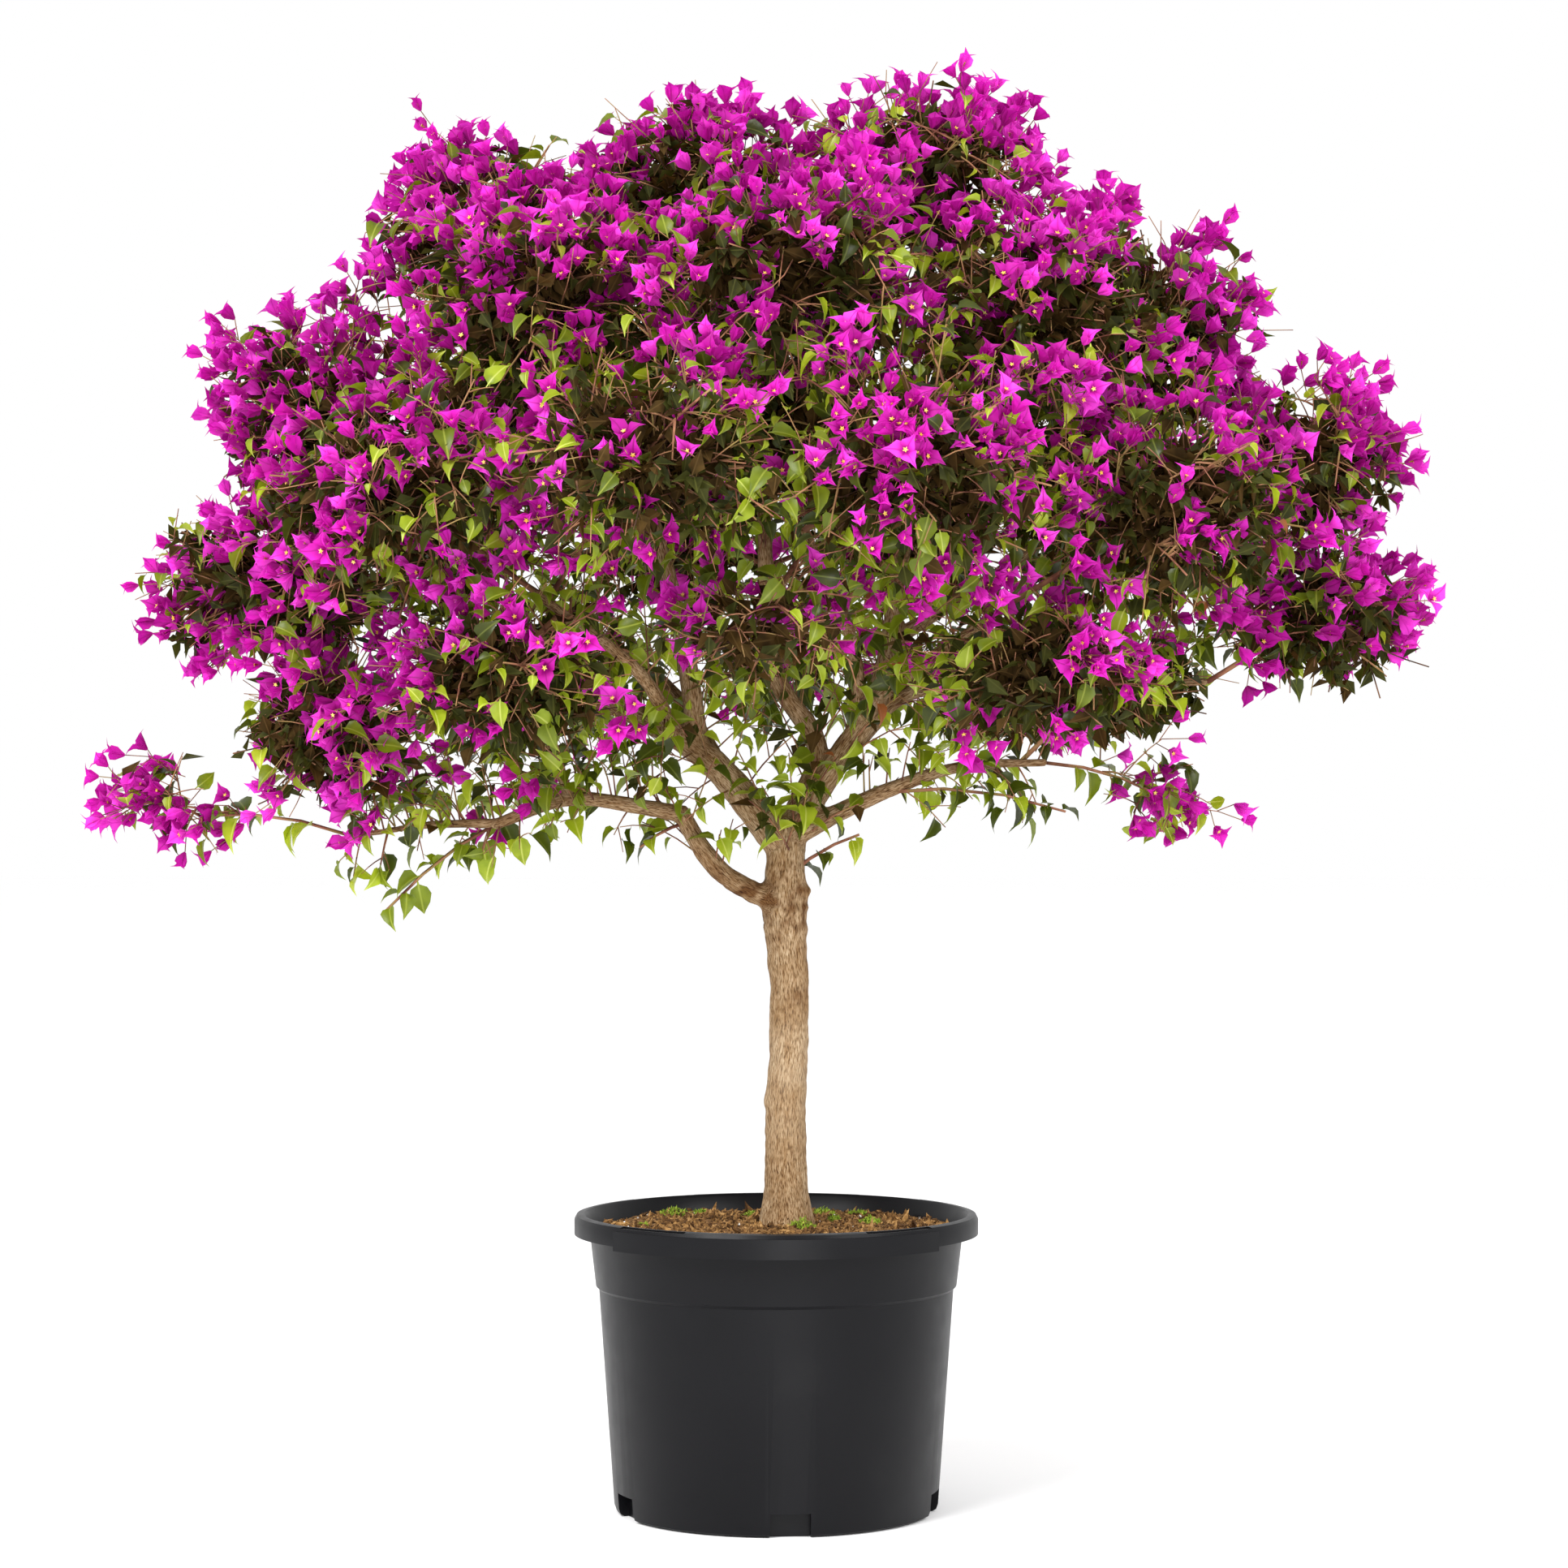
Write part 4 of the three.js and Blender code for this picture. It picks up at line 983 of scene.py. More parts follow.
# How far some masses hang below their hearts, as a share of their reach.
HANG = {"mass_right_outer": 0.55, "mass_low_right": 0.7, "mass_left_low": 0.85}
print("a leaf is", LEAF_LENGTH, "mm long, and a bract", FLOWER_SIZE, "mm")

# %% What grows


def flowering_chance(place, bloom):
    """Flowers crowd the crown's top and flanks, and thin out towards its middle and its skirt."""
    outwards = math.hypot(place[0] / 720, max(0.0, place[2] - 1010) / 560)
    return bloom * (0.2 + 0.54 * outwards)


class Growth:
    """What grows on one tier of the crown, gathered as lists."""

    def __init__(self):
        self.twigs, self.radii, self.old_twigs, self.stalks = [], [], [], []
        self.leaves, self.shade_leaves, self.flowers = [], [], []
        self.begin((0, 0, 0), (1, 1, 1))

    def begin(self, heart, reach):
        """Which mass grows now: what lies deep in it stands in shade."""
        self.heart, self.reach = np.asarray(heart, dtype=float), np.asarray(reach, dtype=float)

    def depth(self, place):
        return np.linalg.norm((place - self.heart) / self.reach)

    def twig(self, line, kind):
        self.twigs.append(line)
        self.radii.append(THICKNESS[kind])

    def leaf(self, root, direction, face, length, tint):
        """A leaf in the light, or a plain one in the shade, coloured as painted shade: olive near the
        light, else brown.
        """
        if tint != SHADE_TINT and self.depth(root) >= SHADE_DEPTH:
            self.leaves.append((root, direction, face, length, tint))
            return
        olive = self.depth(root) > OLIVE_DEPTH and len(self.shade_leaves) % 3 > 0
        shade = OLIVE_SHADE_TINT if olive else SHADE_TINT
        self.shade_leaves.append((root, direction, face, length, shade))


# %% Leaves on a twig


def aside_of(direction, rng):
    """A random direction square to another."""
    return unit(np.cross(direction, rng.normal(size=3)))


def leaf_tint(rng, young):
    """Mostly middle green, some lighter and some darker as partly painted light and shade, a few new
    ones, and a few in the brown finish of painted shade.
    """
    roll = rng.random()
    # One leaf in ten takes the brown finish of painted shade.
    if rng.random() < 0.1:
        return SHADE_TINT
    if young and roll < 0.34:
        return 3 if roll < 0.27 else 4
    return int(np.searchsorted([0.42, 0.74, 0.97, 1.0], roll))


def leaves_along(growth, twig, rng, start, step, length, hang):
    """Leaves in two rows along a twig, from a share of its length to its tip."""
    span = np.linalg.norm(twig[2] - twig[0])
    count = max(1, int(span * (1 - start) / step))
    turn = rng.random() * 2 * math.pi
    base_tint = leaf_tint(rng, False)
    for i in range(count):
        t = start + (1 - start) * (i + 0.3 + 0.5 * rng.random()) / count
        along = along_arch(twig, t)
        flat = unit(np.cross(along, UP) + 1e-6)
        over = np.cross(flat, along)
        angle = turn + i * 2.4 + 0.5 * rng.normal()
        outward = flat * math.cos(angle) + over * math.sin(angle)
        direction = unit(outward + 0.55 * along - UP * (hang + 0.25 * rng.random()))
        face = unit(UP * 0.9 + along * 0.5 + rng.normal(size=3) * 0.42)
        tint = leaf_tint(rng, t > 0.85) if rng.random() < 0.45 else base_tint
        size = length * (0.5 + 0.6 * rng.random()) * (0.7 if t > 0.85 else 1)
        growth.leaf(on_arch(twig, t), direction, face, size, tint)


# %% Flowers on a twig


def panicle(growth, twig, rng, count, size):
    """A loose bunch of flowers at a twig's tip, on short stalks that face outwards."""
    tip = twig[2]
    along = along_arch(twig, 1.0)
    out = unit((tip - CROWN_HEART) * np.array([1.0, 1.0, 1.25]))
    heading = unit(0.5 * along + 0.8 * out + 0.15 * UP)
    tint = int(rng.integers(0, 3))
    first = rng.random() * 2 * math.pi
    flat = unit(np.cross(heading, UP) + 1e-6)
    over = np.cross(flat, heading)
    for k in range(count):
        angle = first + k * GOLDEN_ANGLE
        lean = 0.0 if k == 0 else 0.8 + 0.7 * rng.random()
        side = flat * math.cos(angle) + over * math.sin(angle)
        stalk = unit(heading + side * lean)
        back = tip - along * rng.random() * 17 * min(k, 3)
        place = back + stalk * (12 + 18 * rng.random())
        growth.stalks.append(arch(back, place, 0.05))
        axis = unit(stalk * 0.75 + out * 0.6 + UP * 0.22 + rng.normal(size=3) * 0.32)
        opening = 0.4 + 0.55 * rng.random()
        # Each flower takes the middle, deep or bright copy of the magenta, as painted shade and light;
        # flowers set back in the panicle mostly take the deep one.
        shade = tint if rng.random() < 0.55 else int(rng.integers(0, 3))
        shade = 1 if k > 2 and rng.random() < 0.6 else shade
        growth.flowers.append((place, axis, size * (0.82 + 0.3 * rng.random()), opening, shade))


# %% Side twigs


def grow_side_twigs(growth, mass, shoots, stem, planes, rng, draw):
    """Side twigs that reach evenly to the mass's surface, with short twigs on them."""
    heart = np.array(mass["heart"], dtype=float)
    if mass["stem_leaves"] and mass["leaders"]:
        heart += (np.array(mass["leaders"][0]) - heart) * SPRAY_HEART
    reach = np.array(mass["reach"], dtype=float)
    count = max(6, int(SIDE_TWIGS * mass["fill"] * (np.prod(reach) ** (1 / 3) / 150) ** 2))
    carriers = [*shoots, stem]
    outwards = unit((heart - CROWN_HEART) * np.array([0.8, 1.0, 1.3]))
    for k in range(count):
        line = spread_direction(k, count, draw) * reach
        line[2] *= HANG.get(mass["name"], 1.0) if line[2] < 0 else 1.0
        if unit(line) @ outwards < 0.25:
            least, spread = INNER_REACH
        else:
            least, spread = TUFT_REACH if rng.random() < TUFT_SHARE else OUTER_REACH
        share = min(least + spread * rng.random(), room_along(line, heart, planes, 6))
        if mass["stem_leaves"]:
            share *= SPRAY_SHARE
        if share < 0.2:
            continue
        tip = heart + line * share
        nearest = min(carriers, key=lambda twig: np.linalg.norm(on_arch(twig, 0.7) - tip))
        twig = arch(on_arch(nearest, 0.35 + 0.4 * rng.random()), tip, 0.08 + 0.08 * rng.random())
        growth.twig(twig, "side")
        yield twig, share


# %% Twigs in the shade


def bowed(start, end, rng):
    """A twig that bends to a random side."""
    bend = rng.normal(size=3) * np.linalg.norm(end - start) * TWIG_BOW
    return np.array([start, (start + end) / 2 + bend, end])


def inner_twigs(growth, mass, rng):
    """Old twigs that fill the shade inside a mass, with plain leaves, both in darker colours of painted
    shade, and a few bare ones.
    """
    for _ in range(int(INNER_TWIGS * mass["fill"])):
        outward = unit(rng.normal(size=3) * np.array([1, 1, 0.8]) + UP * 0.25)
        start = growth.heart + outward * growth.reach * 0.3 * rng.random() - UP * 30 * rng.random()
        bent = unit(outward + 0.5 * rng.normal(size=3))
        twig = bowed(start, start + bent * growth.reach * (0.36 + 0.36 * rng.random()), rng)
        growth.old_twigs.append(twig)
        for _ in range(INNER_LEAVES if mass["fill"] == 1 else AIRY_INNER_LEAVES):
            root = on_arch(twig, 0.2 + 0.8 * rng.random())
            direction, face = unit(rng.normal(size=3) - UP * 0.4), unit(UP + rng.normal(size=3) * 0.6)
            if growth.depth(root) > SHADE_LIMIT:
                continue
            growth.leaf(root, direction, face, LEAF_LENGTH * (0.5 + 0.4 * rng.random()), SHADE_TINT)
    for _ in range(int(BARE_TWIGS * mass["fill"])):
        outward = unit(rng.normal(size=3))
        start = growth.heart + outward * growth.reach * (0.3 + 0.2 * rng.random())
        bent = unit(outward + 0.5 * rng.normal(size=3))
        end = start + bent * growth.reach * (0.35 + 0.3 * rng.random())
        growth.twig(bowed(start, end, rng), "bare")


# %% One whole mass


def grow(growth, mass, index):
    """Everything that grows on one mass."""
    stem, shoots, planes = first_shoots(mass, index)
    rng = np.random.default_rng(500 + index)
    draw = seeded(9000 + index)
    is_spray = mass["stem_leaves"] > 0
    if not is_spray:
        growth.begin(mass["heart"], mass["reach"])
        inner_twigs(growth, mass, rng)
    growth.twig(stem, "spray" if is_spray else "stem")
    if is_spray:
        shoots = [arch(shoot[0], on_arch(shoot, SPRAY_SHARE), 0.05) for shoot in shoots]
        leaves_along(growth, stem, rng, 0.15, CLOSE_LEAF_STEP, SPRAY_LEAF, 0.15)
        leaves_along(growth, stem, rng, 0.2, 34, SPRAY_LEAF, 0.8)
    for number, shoot in enumerate(shoots):
        if number < len(mass["leaders"]):
            shoot = arch(shoot[0], on_arch(shoot, LEADER_SHARE), 0.05)
        growth.twig(shoot, "shoot")
        leaves_along(growth, shoot, rng, 0.4, LEAF_STEP, LEAF_LENGTH, 0.3)
        if number < len(mass["leaders"]):
            panicle(growth, shoot, rng, TUFT_FLOWERS, FLOWER_SIZE)
            lower = np.array([shoot[0], shoot[1], on_arch(shoot, LOWER_PANICLE)])
            panicle(growth, lower, rng, int(rng.integers(*SMALL_PANICLE)), FLOWER_SIZE)
        elif rng.random() < flowering_chance(shoot[2], mass["bloom"]) + 0.15:
            panicle(growth, shoot, rng, int(rng.integers(*PANICLE)), FLOWER_SIZE)
    if is_spray and mass["shoots"] == 0:
        return
    for twig, share in grow_side_twigs(growth, mass, shoots, stem, planes, rng, draw):
        outer = is_spray or share > 0.4
        chance = flowering_chance(twig[2], mass["bloom"])
        flowering = outer and rng.random() < chance
        step = FLOWERING_LEAF_STEP if flowering else LEAF_STEP
        leaves_along(growth, twig, rng, 0.3, step, LEAF_LENGTH, 0.25)
        if flowering:
            panicle(growth, twig, rng, int(rng.integers(*PANICLE)), FLOWER_SIZE)
        for _ in range(SHORT_TWIGS):
            t = 0.45 + 0.5 * rng.random()
            base = on_arch(twig, t)
            heading = unit(along_arch(twig, t) * 0.6 + aside_of(along_arch(twig, t), rng) + UP * 0.1)
            short = arch(base, base + heading * (26 + 32 * rng.random()), 0.1)
            growth.twig(short, "short")
            leaves_along(growth, short, rng, 0.2, step * 0.85, LEAF_LENGTH * 0.94, 0.25)
            if flowering and rng.random() < 0.12 + 0.4 * chance:
                panicle(growth, short, rng, int(rng.integers(*SMALL_PANICLE)), FLOWER_SIZE * 0.96)


# %% [markdown]
# ## Leaves on the old wood
# The real boughs aren't bare between the masses: short leafy twigs leave them all round, a few
# in flower, and a bunch of sprouts breaks from the fork. They grow by the same helpers.

# %% Twigs on the boughs
# Each row: the bough, the shares of its length where twigs start and end, how many, their reach,
# how far they rise (below 0 they hang), and the chance of a flower.
BOUGH_TWIGS = [
    ("main_left", 0.2, 0.95, 26, 120, 0.5, 0.04),
    ("main_left", 0.12, 0.8, 14, 100, -0.4, 0.06),
    ("low_left", 0.5, 1.0, 6, 90, 0.8, 0.0),
    ("long_left", 0.0, 0.6, 12, 105, 1.0, 0.0),
    ("up_left", 0.08, 0.9, 18, 120, 0.3, 0.05),
    ("centre", 0.08, 0.8, 24, 125, 0.4, 0.04),
    ("right_up", 0.08, 0.85, 24, 125, 0.4, 0.04),
    ("front", 0.1, 0.95, 18, 115, 0.1, 0.12),
    ("front_left", 0.1, 0.95, 16, 115, 0.0, 0.12),
    ("front_right", 0.1, 0.95, 16, 115, 0.0, 0.12),
    ("back", 0.1, 0.95, 16, 115, 0.1, 0.08),
    ("back_left", 0.1, 0.95, 16, 115, 0.0, 0.08),
    ("back_right", 0.1, 0.95, 16, 115, 0.0, 0.08),
    ("long_right", 0.05, 0.98, 22, 100, 0.2, 0.03),
    ("long_right", 0.6, 0.95, 9, 90, -0.3, 0.0),
    ("right_shoulder", 0.1, 0.95, 16, 115, 0.2, 0.06),
    ("low_right", 0.3, 0.98, 20, 66, 0.1, 0.0),
    ("left_riser", 0.0, 1.0, 10, 80, 0.3, 0.0),
    ("long_left", 0.2, 1.0, 10, 56, -0.1, 0.0),
    ("long_left", 0.45, 1.0, 12, 95, 1.0, 0.25),
    ("left_end", 0.0, 1.0, 20, 56, -0.35, 0.0),
    ("left_end", 0.0, 0.9, 16, 95, 1.0, 0.25),
]


def twigs_on_limb(growth, row, seed):
    """Leafy twigs all round a bough, which hide the wood where the crown is thin."""
    name, first, last, count, reach, rise, bloom = row
    line, radius_of = limbs[name]
    rng = np.random.default_rng(seed)
    for i in range(count):
        u = first + (last - first) * (i + rng.random()) / count
        along = line.along(u)
        side = aside_of(along, rng)
        heading = unit(side + along * 0.4 + UP * rise)
        root = line.at(u) + side * radius_of(u) * 0.8
        twig = arch(root, root + heading * reach * (0.45 + 0.6 * rng.random()), 0.1)
        growth.twig(twig, "bough")
        leaves_along(growth, twig, rng, 0.2, CLOSE_LEAF_STEP, LEAF_LENGTH * 1.05, 0.45)
        if rng.random() < bloom:
            panicle(growth, twig, rng, int(rng.integers(*SMALL_PANICLE)), FLOWER_SIZE)
        base = on_arch(twig, 0.4 + 0.4 * rng.random())
        fork = unit(heading + aside_of(heading, rng) * 0.9)
        short = arch(base, base + fork * reach * (0.3 + 0.3 * rng.random()), 0.1)
        growth.twig(short, "bare")
        leaves_along(growth, short, rng, 0.25, CLOSE_LEAF_STEP, LEAF_LENGTH, 0.45)


# %% Sprouts in the fork
# Each sprout's root and tip.
SPROUTS = [
    ((12, -22, 742), (44, -58, 812)), ((6, -20, 760), (-16, -62, 806)),
    ((30, -16, 772), (66, -52, 838)), ((20, -20, 756), (14, -66, 842)),
    ((40, -14, 756), (92, -46, 786)), ((-10, -16, 770), (-44, -50, 848)),
    ((14, -22, 735), (-8, -66, 770)), ((26, -20, 748), (34, -74, 800)),
    ((4, -22, 752), (-30, -74, 790)), ((24, -18, 764), (48, -70, 836)),
]


def sprouts_in_fork(growth):
    """Short leafy shoots that break from the old wood where the stem divides."""
    rng = np.random.default_rng(41)
    for root, tip in SPROUTS:
        twig = arch(root, tip, 0.1)
        growth.twig(twig, "sprout")
        leaves_along(growth, twig, rng, 0.2, 10, LEAF_LENGTH, 0.2)


# %% The crown, in four tiers
TIERS = {"crest": MASSES[:7], "shoulder": MASSES[7:14], "middle": MASSES[14:25], "low": MASSES[25:]}
NOWHERE = (0, 0, -1000)
tiers = {}
for tier, masses in TIERS.items():
    tiers[tier] = Growth()
    for mass in masses:
        grow(tiers[tier], mass, MASSES.index(mass))
tiers["low"].begin(NOWHERE, (1, 1, 1))
for number, row in enumerate(BOUGH_TWIGS):
    twigs_on_limb(tiers["low"], row, 200 + number)
sprouts_in_fork(tiers["low"])
for tier, growth in tiers.items():
    print(tier, {kind: len(getattr(growth, kind)) for kind in ("twigs", "stalks", "leaves", "flowers")})

# %% [markdown]
# ## Meshes of the crown
# Tens of thousands of twigs, leaves and bracts would be far too many objects, so each tier gets
# one mesh of each kind. A twig is a thin rod of three sides. A leaf or bract is a small folded
# blade, made once and stamped wherever one grows, and a shaded leaf is only two triangles.

# %% Twig meshes
TWIG_SIDES = 3
TWIG_STEPS = 3
STALK_RADIUS = 0.65
OLD_TWIG_RADIUS = 0.95


def rods(lines, radii, steps):
    """Thin three-sided rods along many twigs at once."""
    lines, radii = np.array(lines), np.array(radii)
    shares = np.linspace(0, 1, steps + 1)[None, :, None]
    starts, middles, ends = lines[:, 0:1], lines[:, 1:2], lines[:, 2:3]
    centres = starts * (1 - shares) ** 2 + middles * 2 * shares * (1 - shares) + ends * shares**2
    along = unit(np.gradient(centres, axis=1))
    aside = unit(np.cross(along, np.array([0.31, 0.52, 0.79])))
    over = np.cross(along, aside)
    thickness = radii[:, 0:1] + (radii[:, 1:2] - radii[:, 0:1]) * shares[0, :, 0]
    angles = np.arange(TWIG_SIDES) * 2 * math.pi / TWIG_SIDES
    rings = [centres + (aside * math.cos(a) + over * math.sin(a)) * thickness[:, :, None] for a in angles]
    points = np.stack(rings, axis=2).reshape(-1, 3)
    rows, turns = np.meshgrid(np.arange(steps), np.arange(TWIG_SIDES), indexing="ij")
    a = (rows * TWIG_SIDES + turns).ravel()
    b = (rows * TWIG_SIDES + (turns + 1) % TWIG_SIDES).ravel()
    last = steps * TWIG_SIDES
    faces = np.concatenate([
        np.stack([a, b, b + TWIG_SIDES], -1),
        np.stack([a, b + TWIG_SIDES, a + TWIG_SIDES], -1),
        [[2, 1, 0], [last, last + 1, last + 2]],
    ])
    offsets = (np.arange(len(lines)) * (steps + 1) * TWIG_SIDES)[:, None, None]
    return points, (faces[None] + offsets).reshape(-1, 3)


def twig_mesh(name, growth):
    """All twigs and flower stalks of a tier, with the old inner twigs as a second kind, which takes the
    darker finish of painted shade.
    """
    stalk_radii = np.full((len(growth.stalks), 2), STALK_RADIUS)
    old_radii = np.full((len(growth.old_twigs), 2), OLD_TWIG_RADIUS)
    parts = [
        rods(growth.twigs, growth.radii, TWIG_STEPS),
        rods(growth.stalks, stalk_radii, 1),
        rods(growth.old_twigs, old_radii, TWIG_STEPS),
    ]
    kinds = np.concatenate([np.full(len(faces), int(i == 2)) for i, (_, faces) in enumerate(parts)])
    return mesh_piece(name, *joined(parts), kinds)


# %% Leaf and bract meshes
# Rows across a blade, from its stalk to its point: place along, half width, and droop.
LEAF_ROWS = [
    (0.0, 0.012, 0.0), (0.14, 0.03, 0.0), (0.24, 0.23, -0.02),
    (0.43, 0.315, 0.02), (0.68, 0.23, 0.12), (0.87, 0.08, 0.25),
]
BRACT_ROWS = [(0.0, 0.07, 0.0), (0.28, 0.3, -0.14), (0.53, 0.31, -0.22), (0.77, 0.1, -0.19)]


def blade(rows, tip_droop, fold):
    """A pointed blade: three points in each row, raised at the sides, and one at the tip."""
    points, uv = [], []
    for place, half, droop in rows:
        for side in (-1, 0, 1):
            points.append((place, side * half, abs(side) * half * fold - droop))
            uv.append((0.5 + 0.5 * side * half / 0.4, place))
    points.append((1.0, 0.0, -tip_droop))
    uv.append((0.5, 1.0))
    faces = []
    for row in range(len(rows) - 1):
        for side in (0, 1):
            a = row * 3 + side
            faces += [(a, a + 3, a + 4), (a, a + 4, a + 1)]
    last = (len(rows) - 1) * 3
    tip = len(points) - 1
    faces += [(last, tip, last + 1), (last + 1, tip, last + 2)]
    return np.array(points), np.array(faces), np.array(uv)


LEAF_BLADE = blade(LEAF_ROWS, 0.46, 0.55)
SHADE_BLADE = (
    np.array([(0.0, 0.0, 0.0), (0.42, -0.3, 0.1), (0.42, 0.3, 0.1), (1.0, 0.0, -0.2)]),
    np.array([(0, 1, 3), (0, 3, 2)]),
    np.array([(0.5, 0.0), (0.1, 0.42), (0.9, 0.42), (0.5, 1.0)]),
)
BRACT_BLADE = blade(BRACT_ROWS, -0.02, 0.42)


def blade_axes(directions, faces):
    """Axes for blades: along, aside and over, from their directions and facings."""
    along = unit(directions)
    aside = unit(np.cross(faces, along))
    return np.stack([along, aside, np.cross(along, aside)], axis=1)


# %% Stamping leaves and bracts


def columns(rows):
    """A list of tuples as one array for each place in the tuple."""
    return [np.array(column) for column in zip(*rows)]


def stamped_leaves(leaves, leaf_blade):
    """Every leaf of a list as a copy of one blade, with its kind and its map."""
    roots, directions, facings, lengths, tints = columns(leaves)
    template, faces, uv = leaf_blade
    shape = stamped(template, faces, roots, blade_axes(directions, facings), lengths)
    return shape, np.repeat(tints, len(faces)), np.tile(uv, (len(roots), 1))


def leaf_mesh(name, growth):
    lists = [(growth.leaves, LEAF_BLADE), (growth.shade_leaves, SHADE_BLADE)]
    shapes, kinds, uvs = zip(*(stamped_leaves(*pair) for pair in lists))
    return mesh_piece(name, *joined(shapes), np.concatenate(kinds), np.concatenate(uvs))


def bract_mesh(name, growth, seed):
    """Three bracts for each flower, none quite like the next, and where their stars stand."""
    rng = np.random.default_rng(seed)
    places, axes, sizes, openings, tints = columns(growth.flowers)
    count = len(places)
    flat = unit(np.cross(axes, rng.normal(size=axes.shape)))
    over = np.cross(axes, flat)
    template, faces, uv = BRACT_BLADE
    parts = []
    for bract in range(3):
        turns = (bract * 2 * math.pi / 3 + 0.16 * rng.normal(size=count))[:, None]
        side = flat * np.cos(turns) + over * np.sin(turns)
        tilt = openings[:, None] + 0.14 * rng.normal(size=(count, 1))
        direction = axes * np.cos(tilt) + side * np.sin(tilt)
        facing = axes * np.sin(tilt) - side * np.cos(tilt)
        lengths = sizes * (1.02 + 0.2 * rng.random(count))
        root = places + side * sizes[:, None] * 0.03
        parts.append(stamped(template, faces, root, blade_axes(direction, facing), lengths))
    kinds = np.tile(np.repeat(tints, len(faces)), 3)
    bracts = mesh_piece(name, *joined(parts), kinds, np.tile(uv, (3 * count, 1)))
    return bracts, (places, np.stack([flat, over, axes], axis=1), sizes)


# A flower's star, as shares of the flower's size: radius and height of its rays and hollows.
STAR_RAYS = 5
RAY, HOLLOW, STAR_TOP, STAR_FOOT = (0.14, 0.46), (0.06, 0.44), 0.49, 0.05
HOLLOW_TURN = 0.63


def star_blade():
    """A cream star on a thin tube."""
    turns = np.arange(STAR_RAYS) * 2 * math.pi / STAR_RAYS
    rim = [(RAY[0] * math.cos(a), RAY[0] * math.sin(a), RAY[1]) for a in turns]
    inner = [(HOLLOW[0] * math.cos(a), HOLLOW[0] * math.sin(a), HOLLOW[1]) for a in turns + HOLLOW_TURN]
    faces = []
    for i in range(STAR_RAYS):
        j = (i + 1) % STAR_RAYS
        faces += [(i, 5 + i, 10), (5 + i, j, 10), (5 + i, 5 + j, 11)]
    return np.array([*rim, *inner, (0, 0, STAR_TOP), (0, 0, STAR_FOOT)]), np.array(faces)


# %% [markdown]
# ## Finishes of the crown
# Leaves are glossy above and let some light through, so each leaf finish mixes a green gloss
# with a yellower glow. Seven of them are dealt out: middle green, a lighter and a darker green
# that are partly the leaves' own spread and partly painted light and shade, young and reddish
# new leaves, and two dull ones, brown and olive, that are painted shade for the leaves inside
# the masses. Bracts are thin and papery: matt magenta in three copies, a middle one, a deeper one
# of painted shade and a brighter one of painted light, darker at the base as painted shade where
# the bracts meet, with a glow where the light stands behind them.

# %% Leaf and bract finishes
GLOW_SHARE = 0.3
RIB_EDGES = (0.012, 0.045)
LEAF_BASE = (0.8, 0.85, 0.7, 1)
BRACT_BASE_PAINTED_SHADE = (0.66, 0.36, 0.56, 1)
LEAF, BRACT = (0.34, 0.3), (0.6, 0.25)
# Each row: the name, two surface colours, the rib, the glow, and roughness with specular.
LEAF_FINISHES = [
    ("leaf_middle", (80, 94, 14), (108, 122, 24), (142, 152, 56), (152, 170, 18), LEAF),
    # The light and the dark green are partly the leaves' own spread and partly painted light and shade.
    ("leaf_light", (124, 142, 26), (156, 172, 44), (188, 198, 92), (184, 202, 32), LEAF),
    ("leaf_dark", (40, 48, 8), (60, 68, 14), (94, 102, 42), (88, 104, 12), LEAF),
    ("leaf_young", (138, 154, 28), (174, 186, 50), (196, 204, 96), (188, 200, 36), LEAF),
    ("leaf_new_red", (120, 66, 36), (150, 90, 44), (166, 112, 70), (176, 94, 44), LEAF),
    # The last two are painted shade: dull brown, and olive for the shaded leaves nearer the light.
    ("leaf_shade", (44, 33, 16), (78, 59, 30), (88, 68, 38), (82, 56, 18), (0.8, 0.06)),
    ("leaf_deep_shade", (36, 38, 12), (62, 64, 24), (76, 78, 34), (74, 74, 16), (0.6, 0.12)),
]
BRACT_FINISHES = [
    ("bract_magenta", (194, 20, 164), (218, 38, 192), (166, 14, 132), (230, 30, 192), BRACT),
    # The deep copy is painted shade and the bright copy painted light.
    ("bract_deep_painted_shade", (166, 12, 136), (192, 24, 164), (140, 8, 110), (206, 22, 168), BRACT),
    ("bract_bright_painted_light", (214, 42, 192), (238, 74, 216), (188, 28, 158), (244, 68, 212), BRACT),
]


def thin_finish(base, name, low, high, vein, glow, gloss):
    """A finish for something as thin as a leaf, with a midrib and some light through it."""
    made = Finish(name, *gloss)
    surface = made.speckled(55.0, 2.0, (0.35, low), (0.65, high))
    across = made.split(made.node("ShaderNodeUVMap", uv_map="leaf").outputs["UV"])
    # Darker towards the stalk; on the bracts this is painted shade where they meet in the flower's cup.
    deepening = made.ramp(across["Y"], (0.05, base), (0.5, (1, 1, 1, 1)))
    surface = made.mixed(1.0, surface, deepening, "MULTIPLY")
    centred = made.node("ShaderNodeMath", operation="SUBTRACT")
    made.join(across["X"], centred.inputs[0])
    centred.inputs[1].default_value = 0.5
    far = made.node("ShaderNodeMath", operation="ABSOLUTE")
    made.join(centred.outputs[0], far.inputs[0])
    rib = made.ranged(far.outputs[0], RIB_EDGES, (1.0, 0.0))
    made.colour(made.mixed(rib, surface, paint(*vein)))
    shine = made.node("ShaderNodeBsdfTranslucent")
    shine.inputs["Color"].default_value = paint(*glow)
    both = made.node("ShaderNodeMixShader")
    both.inputs["Fac"].default_value = GLOW_SHARE
    made.join(made.shader.outputs["BSDF"], both.inputs[1])
    made.join(shine.outputs["BSDF"], both.inputs[2])
    made.join(both.outputs["Shader"], made.tree.nodes["Material Output"].inputs["Surface"])
    return made


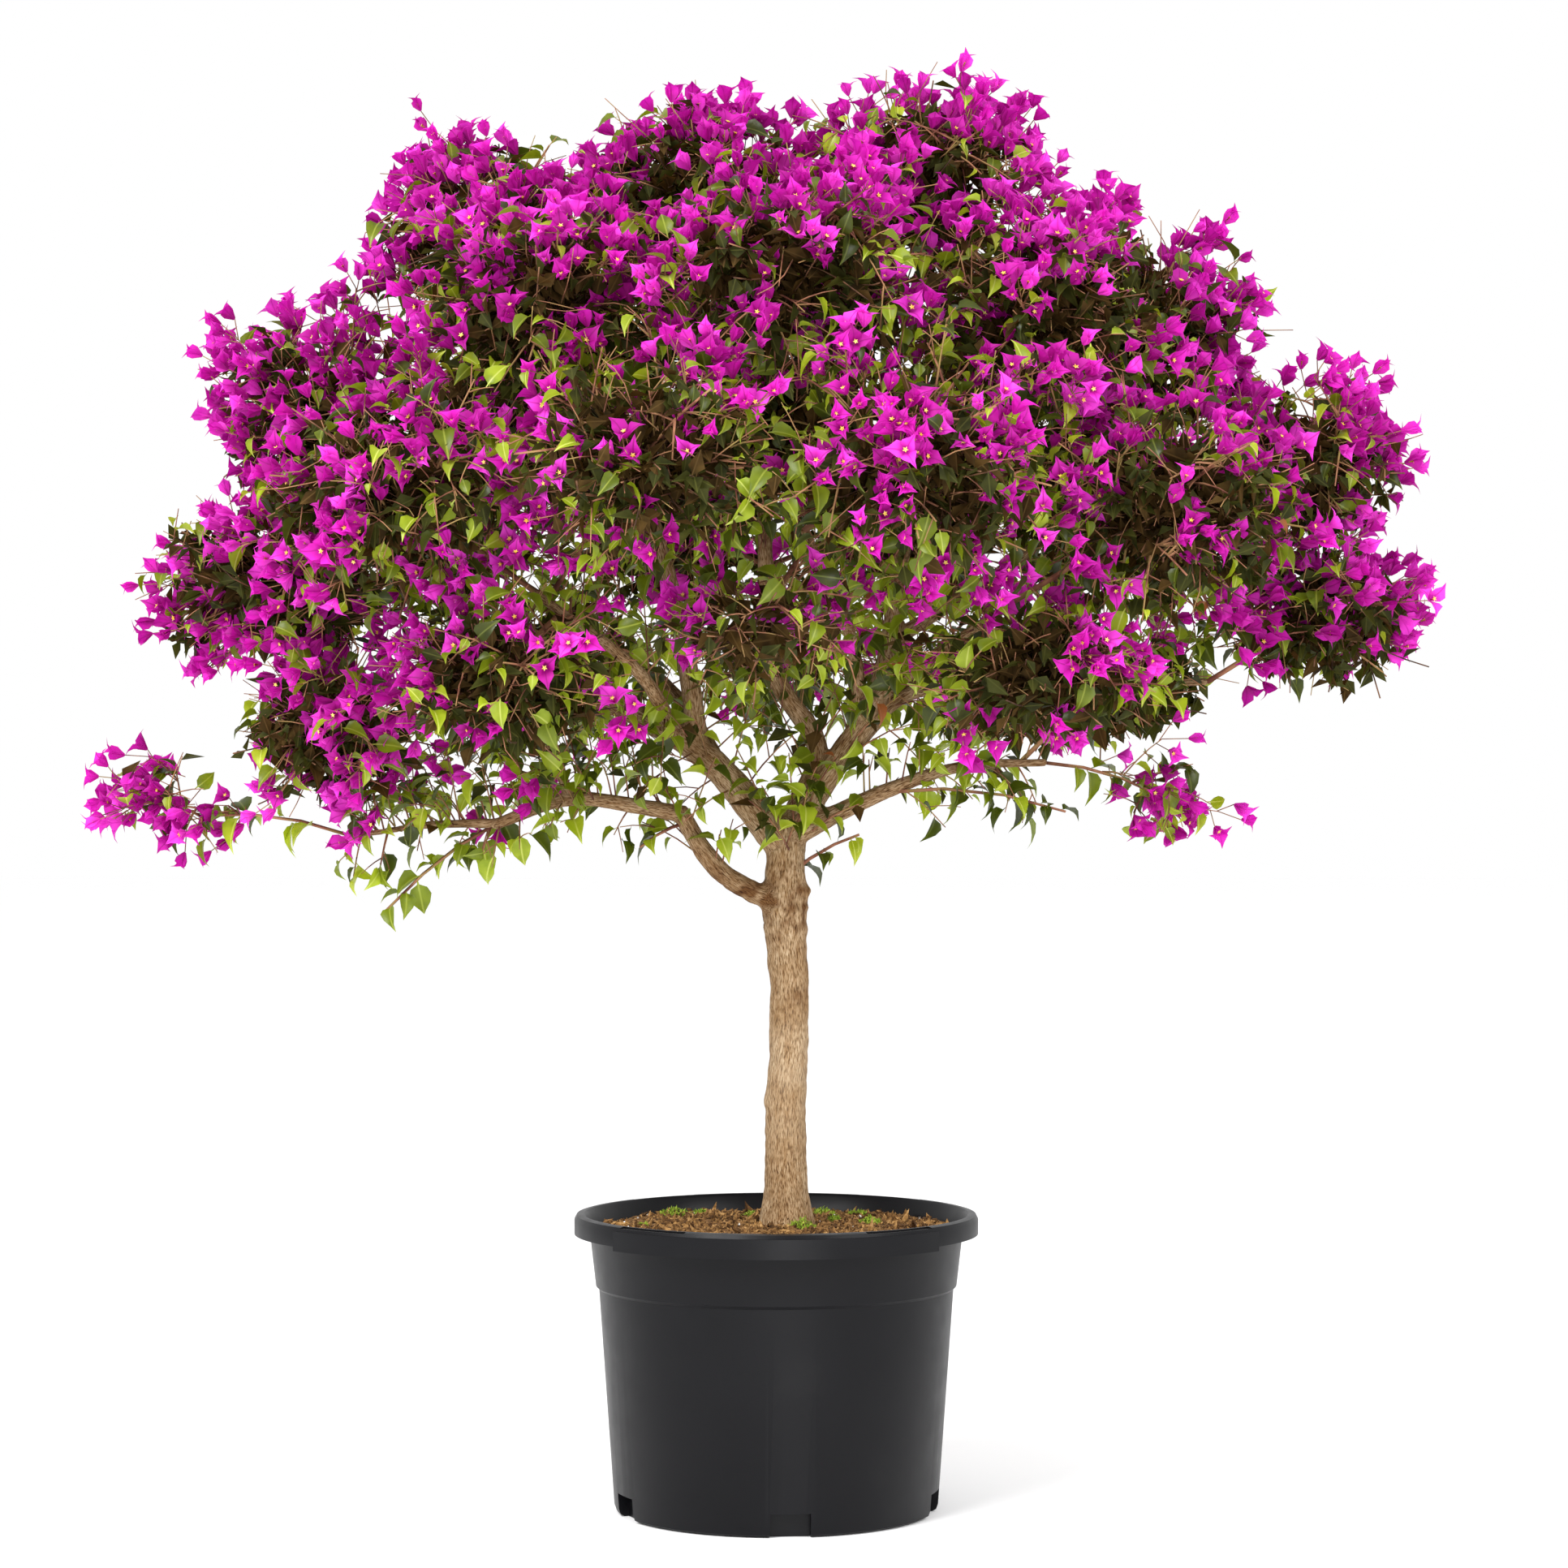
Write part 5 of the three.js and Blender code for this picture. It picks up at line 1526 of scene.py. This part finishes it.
leaf_finishes = [thin_finish(LEAF_BASE, *row) for row in LEAF_FINISHES]
bract_finishes = [thin_finish(BRACT_BASE_PAINTED_SHADE, *row) for row in BRACT_FINISHES]
print("leaf and bract finishes:", len(leaf_finishes), len(bract_finishes))

# %% Star and twig finishes
cream = Finish("cream_star", 0.6, 0.3)
cream.colour(cream.speckled(300.0, 3.0, (0.4, (214, 160, 48)), (0.6, (244, 214, 116))))


def twig_finish(name, dark, middle, light):
    made = Finish(name, 0.75, 0.25)
    made.colour(made.speckled(30.0, 3.0, (0.38, dark), (0.5, middle), (0.64, light)))
    made.bump(made.grain(made.place(), 500.0), 0.0006, 0.5)
    return made


twig_bark = twig_finish("twig_bark", (104, 60, 46), (150, 102, 76), (144, 122, 70))
# The old inner twigs are darker than the outer ones: painted shade.
old_twig_painted_shade = twig_finish("old_twig_bark_painted_shade", (58, 38, 26), (98, 66, 46), (136, 96, 68))

# %% The crown's pieces
for number, (tier, growth) in enumerate(tiers.items()):
    nodes = [mass["name"] for mass in TIERS[tier]]
    twigs = twig_mesh(f"twigs_{tier}", growth)
    dress(twigs, "bark", twig_bark, old_twig_painted_shade)
    leaves = leaf_mesh(f"leaves_{tier}", growth)
    dress(leaves, "foliage", *leaf_finishes)
    bracts, star_places = bract_mesh(f"bracts_{tier}", growth, 70 + number)
    dress(bracts, "blossom", *bract_finishes)
    stars = mesh_piece(f"stars_{tier}", *stamped(*star_blade(), *star_places))
    dress(stars, "blossom", cream)
    for piece in (twigs, leaves, bracts):
        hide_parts(*nodes)

# %% [markdown]
# ## Floor, light and camera
# The plant stands on a pale floor in soft, even studio light: a white sky all round, a large
# soft lamp high on the left in front, which leaves a faint shadow on the right, and two weaker
# ones at the right and low in front that lift the shade under the crown.

# %% Floor
begin_alone()
bpy.ops.mesh.primitive_plane_add(size=60, location=(0, 0, -0.0005))
floor = bpy.context.object
floor.name = "studio_floor"
floor_paint = Finish("studio_white", 0.9, 0.1)
floor_paint.shader.inputs["Base Color"].default_value = (1, 1, 1, 1)
floor.data.materials.append(floor_paint.material)
floor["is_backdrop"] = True

# %% Light
world = bpy.data.worlds.new("studio_sky")
bpy.context.scene.world = world
world.use_nodes = True
world.node_tree.nodes["Background"].inputs["Color"].default_value = (1, 1, 1, 1)
world.node_tree.nodes["Background"].inputs["Strength"].default_value = 1.0


# Each lamp: its place, its size in metres and its power in watts. All aim at the crown's foot.
LAMPS = {
    "key_lamp": ((-2.2, -2.8, 3.4), 2.4, 200),
    "side_lamp": ((2.8, -2.4, 2.6), 2.0, 80),
    "low_lamp": ((0.4, -3.3, 0.4), 1.6, 40),
}
LAMP_AIM = Vector((0, 0, 1.0))
for name, (place, size, watts) in LAMPS.items():
    begin_alone()
    bpy.ops.object.light_add(type="AREA", location=place)
    lamp = bpy.context.object
    lamp.name = name
    lamp.data.shape = "DISK"
    lamp.data.size = size
    lamp.data.energy = watts
    lamp.rotation_euler = (LAMP_AIM - Vector(place)).to_track_quat("-Z", "Y").to_euler()
bpy.context.scene.view_settings.view_transform = "Standard"
print("lamps:", len(LAMPS))

# %% Camera
CAMERA_PLACE = (0.0086, -4.482, 0.808)
CAMERA_LENS = 92.24
camera_data = bpy.data.cameras.new("camera")
camera_data.lens = CAMERA_LENS
camera_data.sensor_width = 36
camera = bpy.data.objects.new("camera", camera_data)
camera.location = CAMERA_PLACE
camera.rotation_euler = (math.radians(90), 0, 0)
bpy.context.scene.collection.objects.link(camera)
bpy.context.scene.camera = camera

# %% [markdown]
# ## Sizes
# Last, the box round the finished pieces and the solid model's box are both printed.

# %% Sizes and finish
visual_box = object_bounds()
sizes = {
    "cad": [[float(v) for v in corner] for corner in cad_box],
    "visual": [[float(v) for v in corner] for corner in visual_box],
}
print("solid box", sizes["cad"])
print("visual box", sizes["visual"])
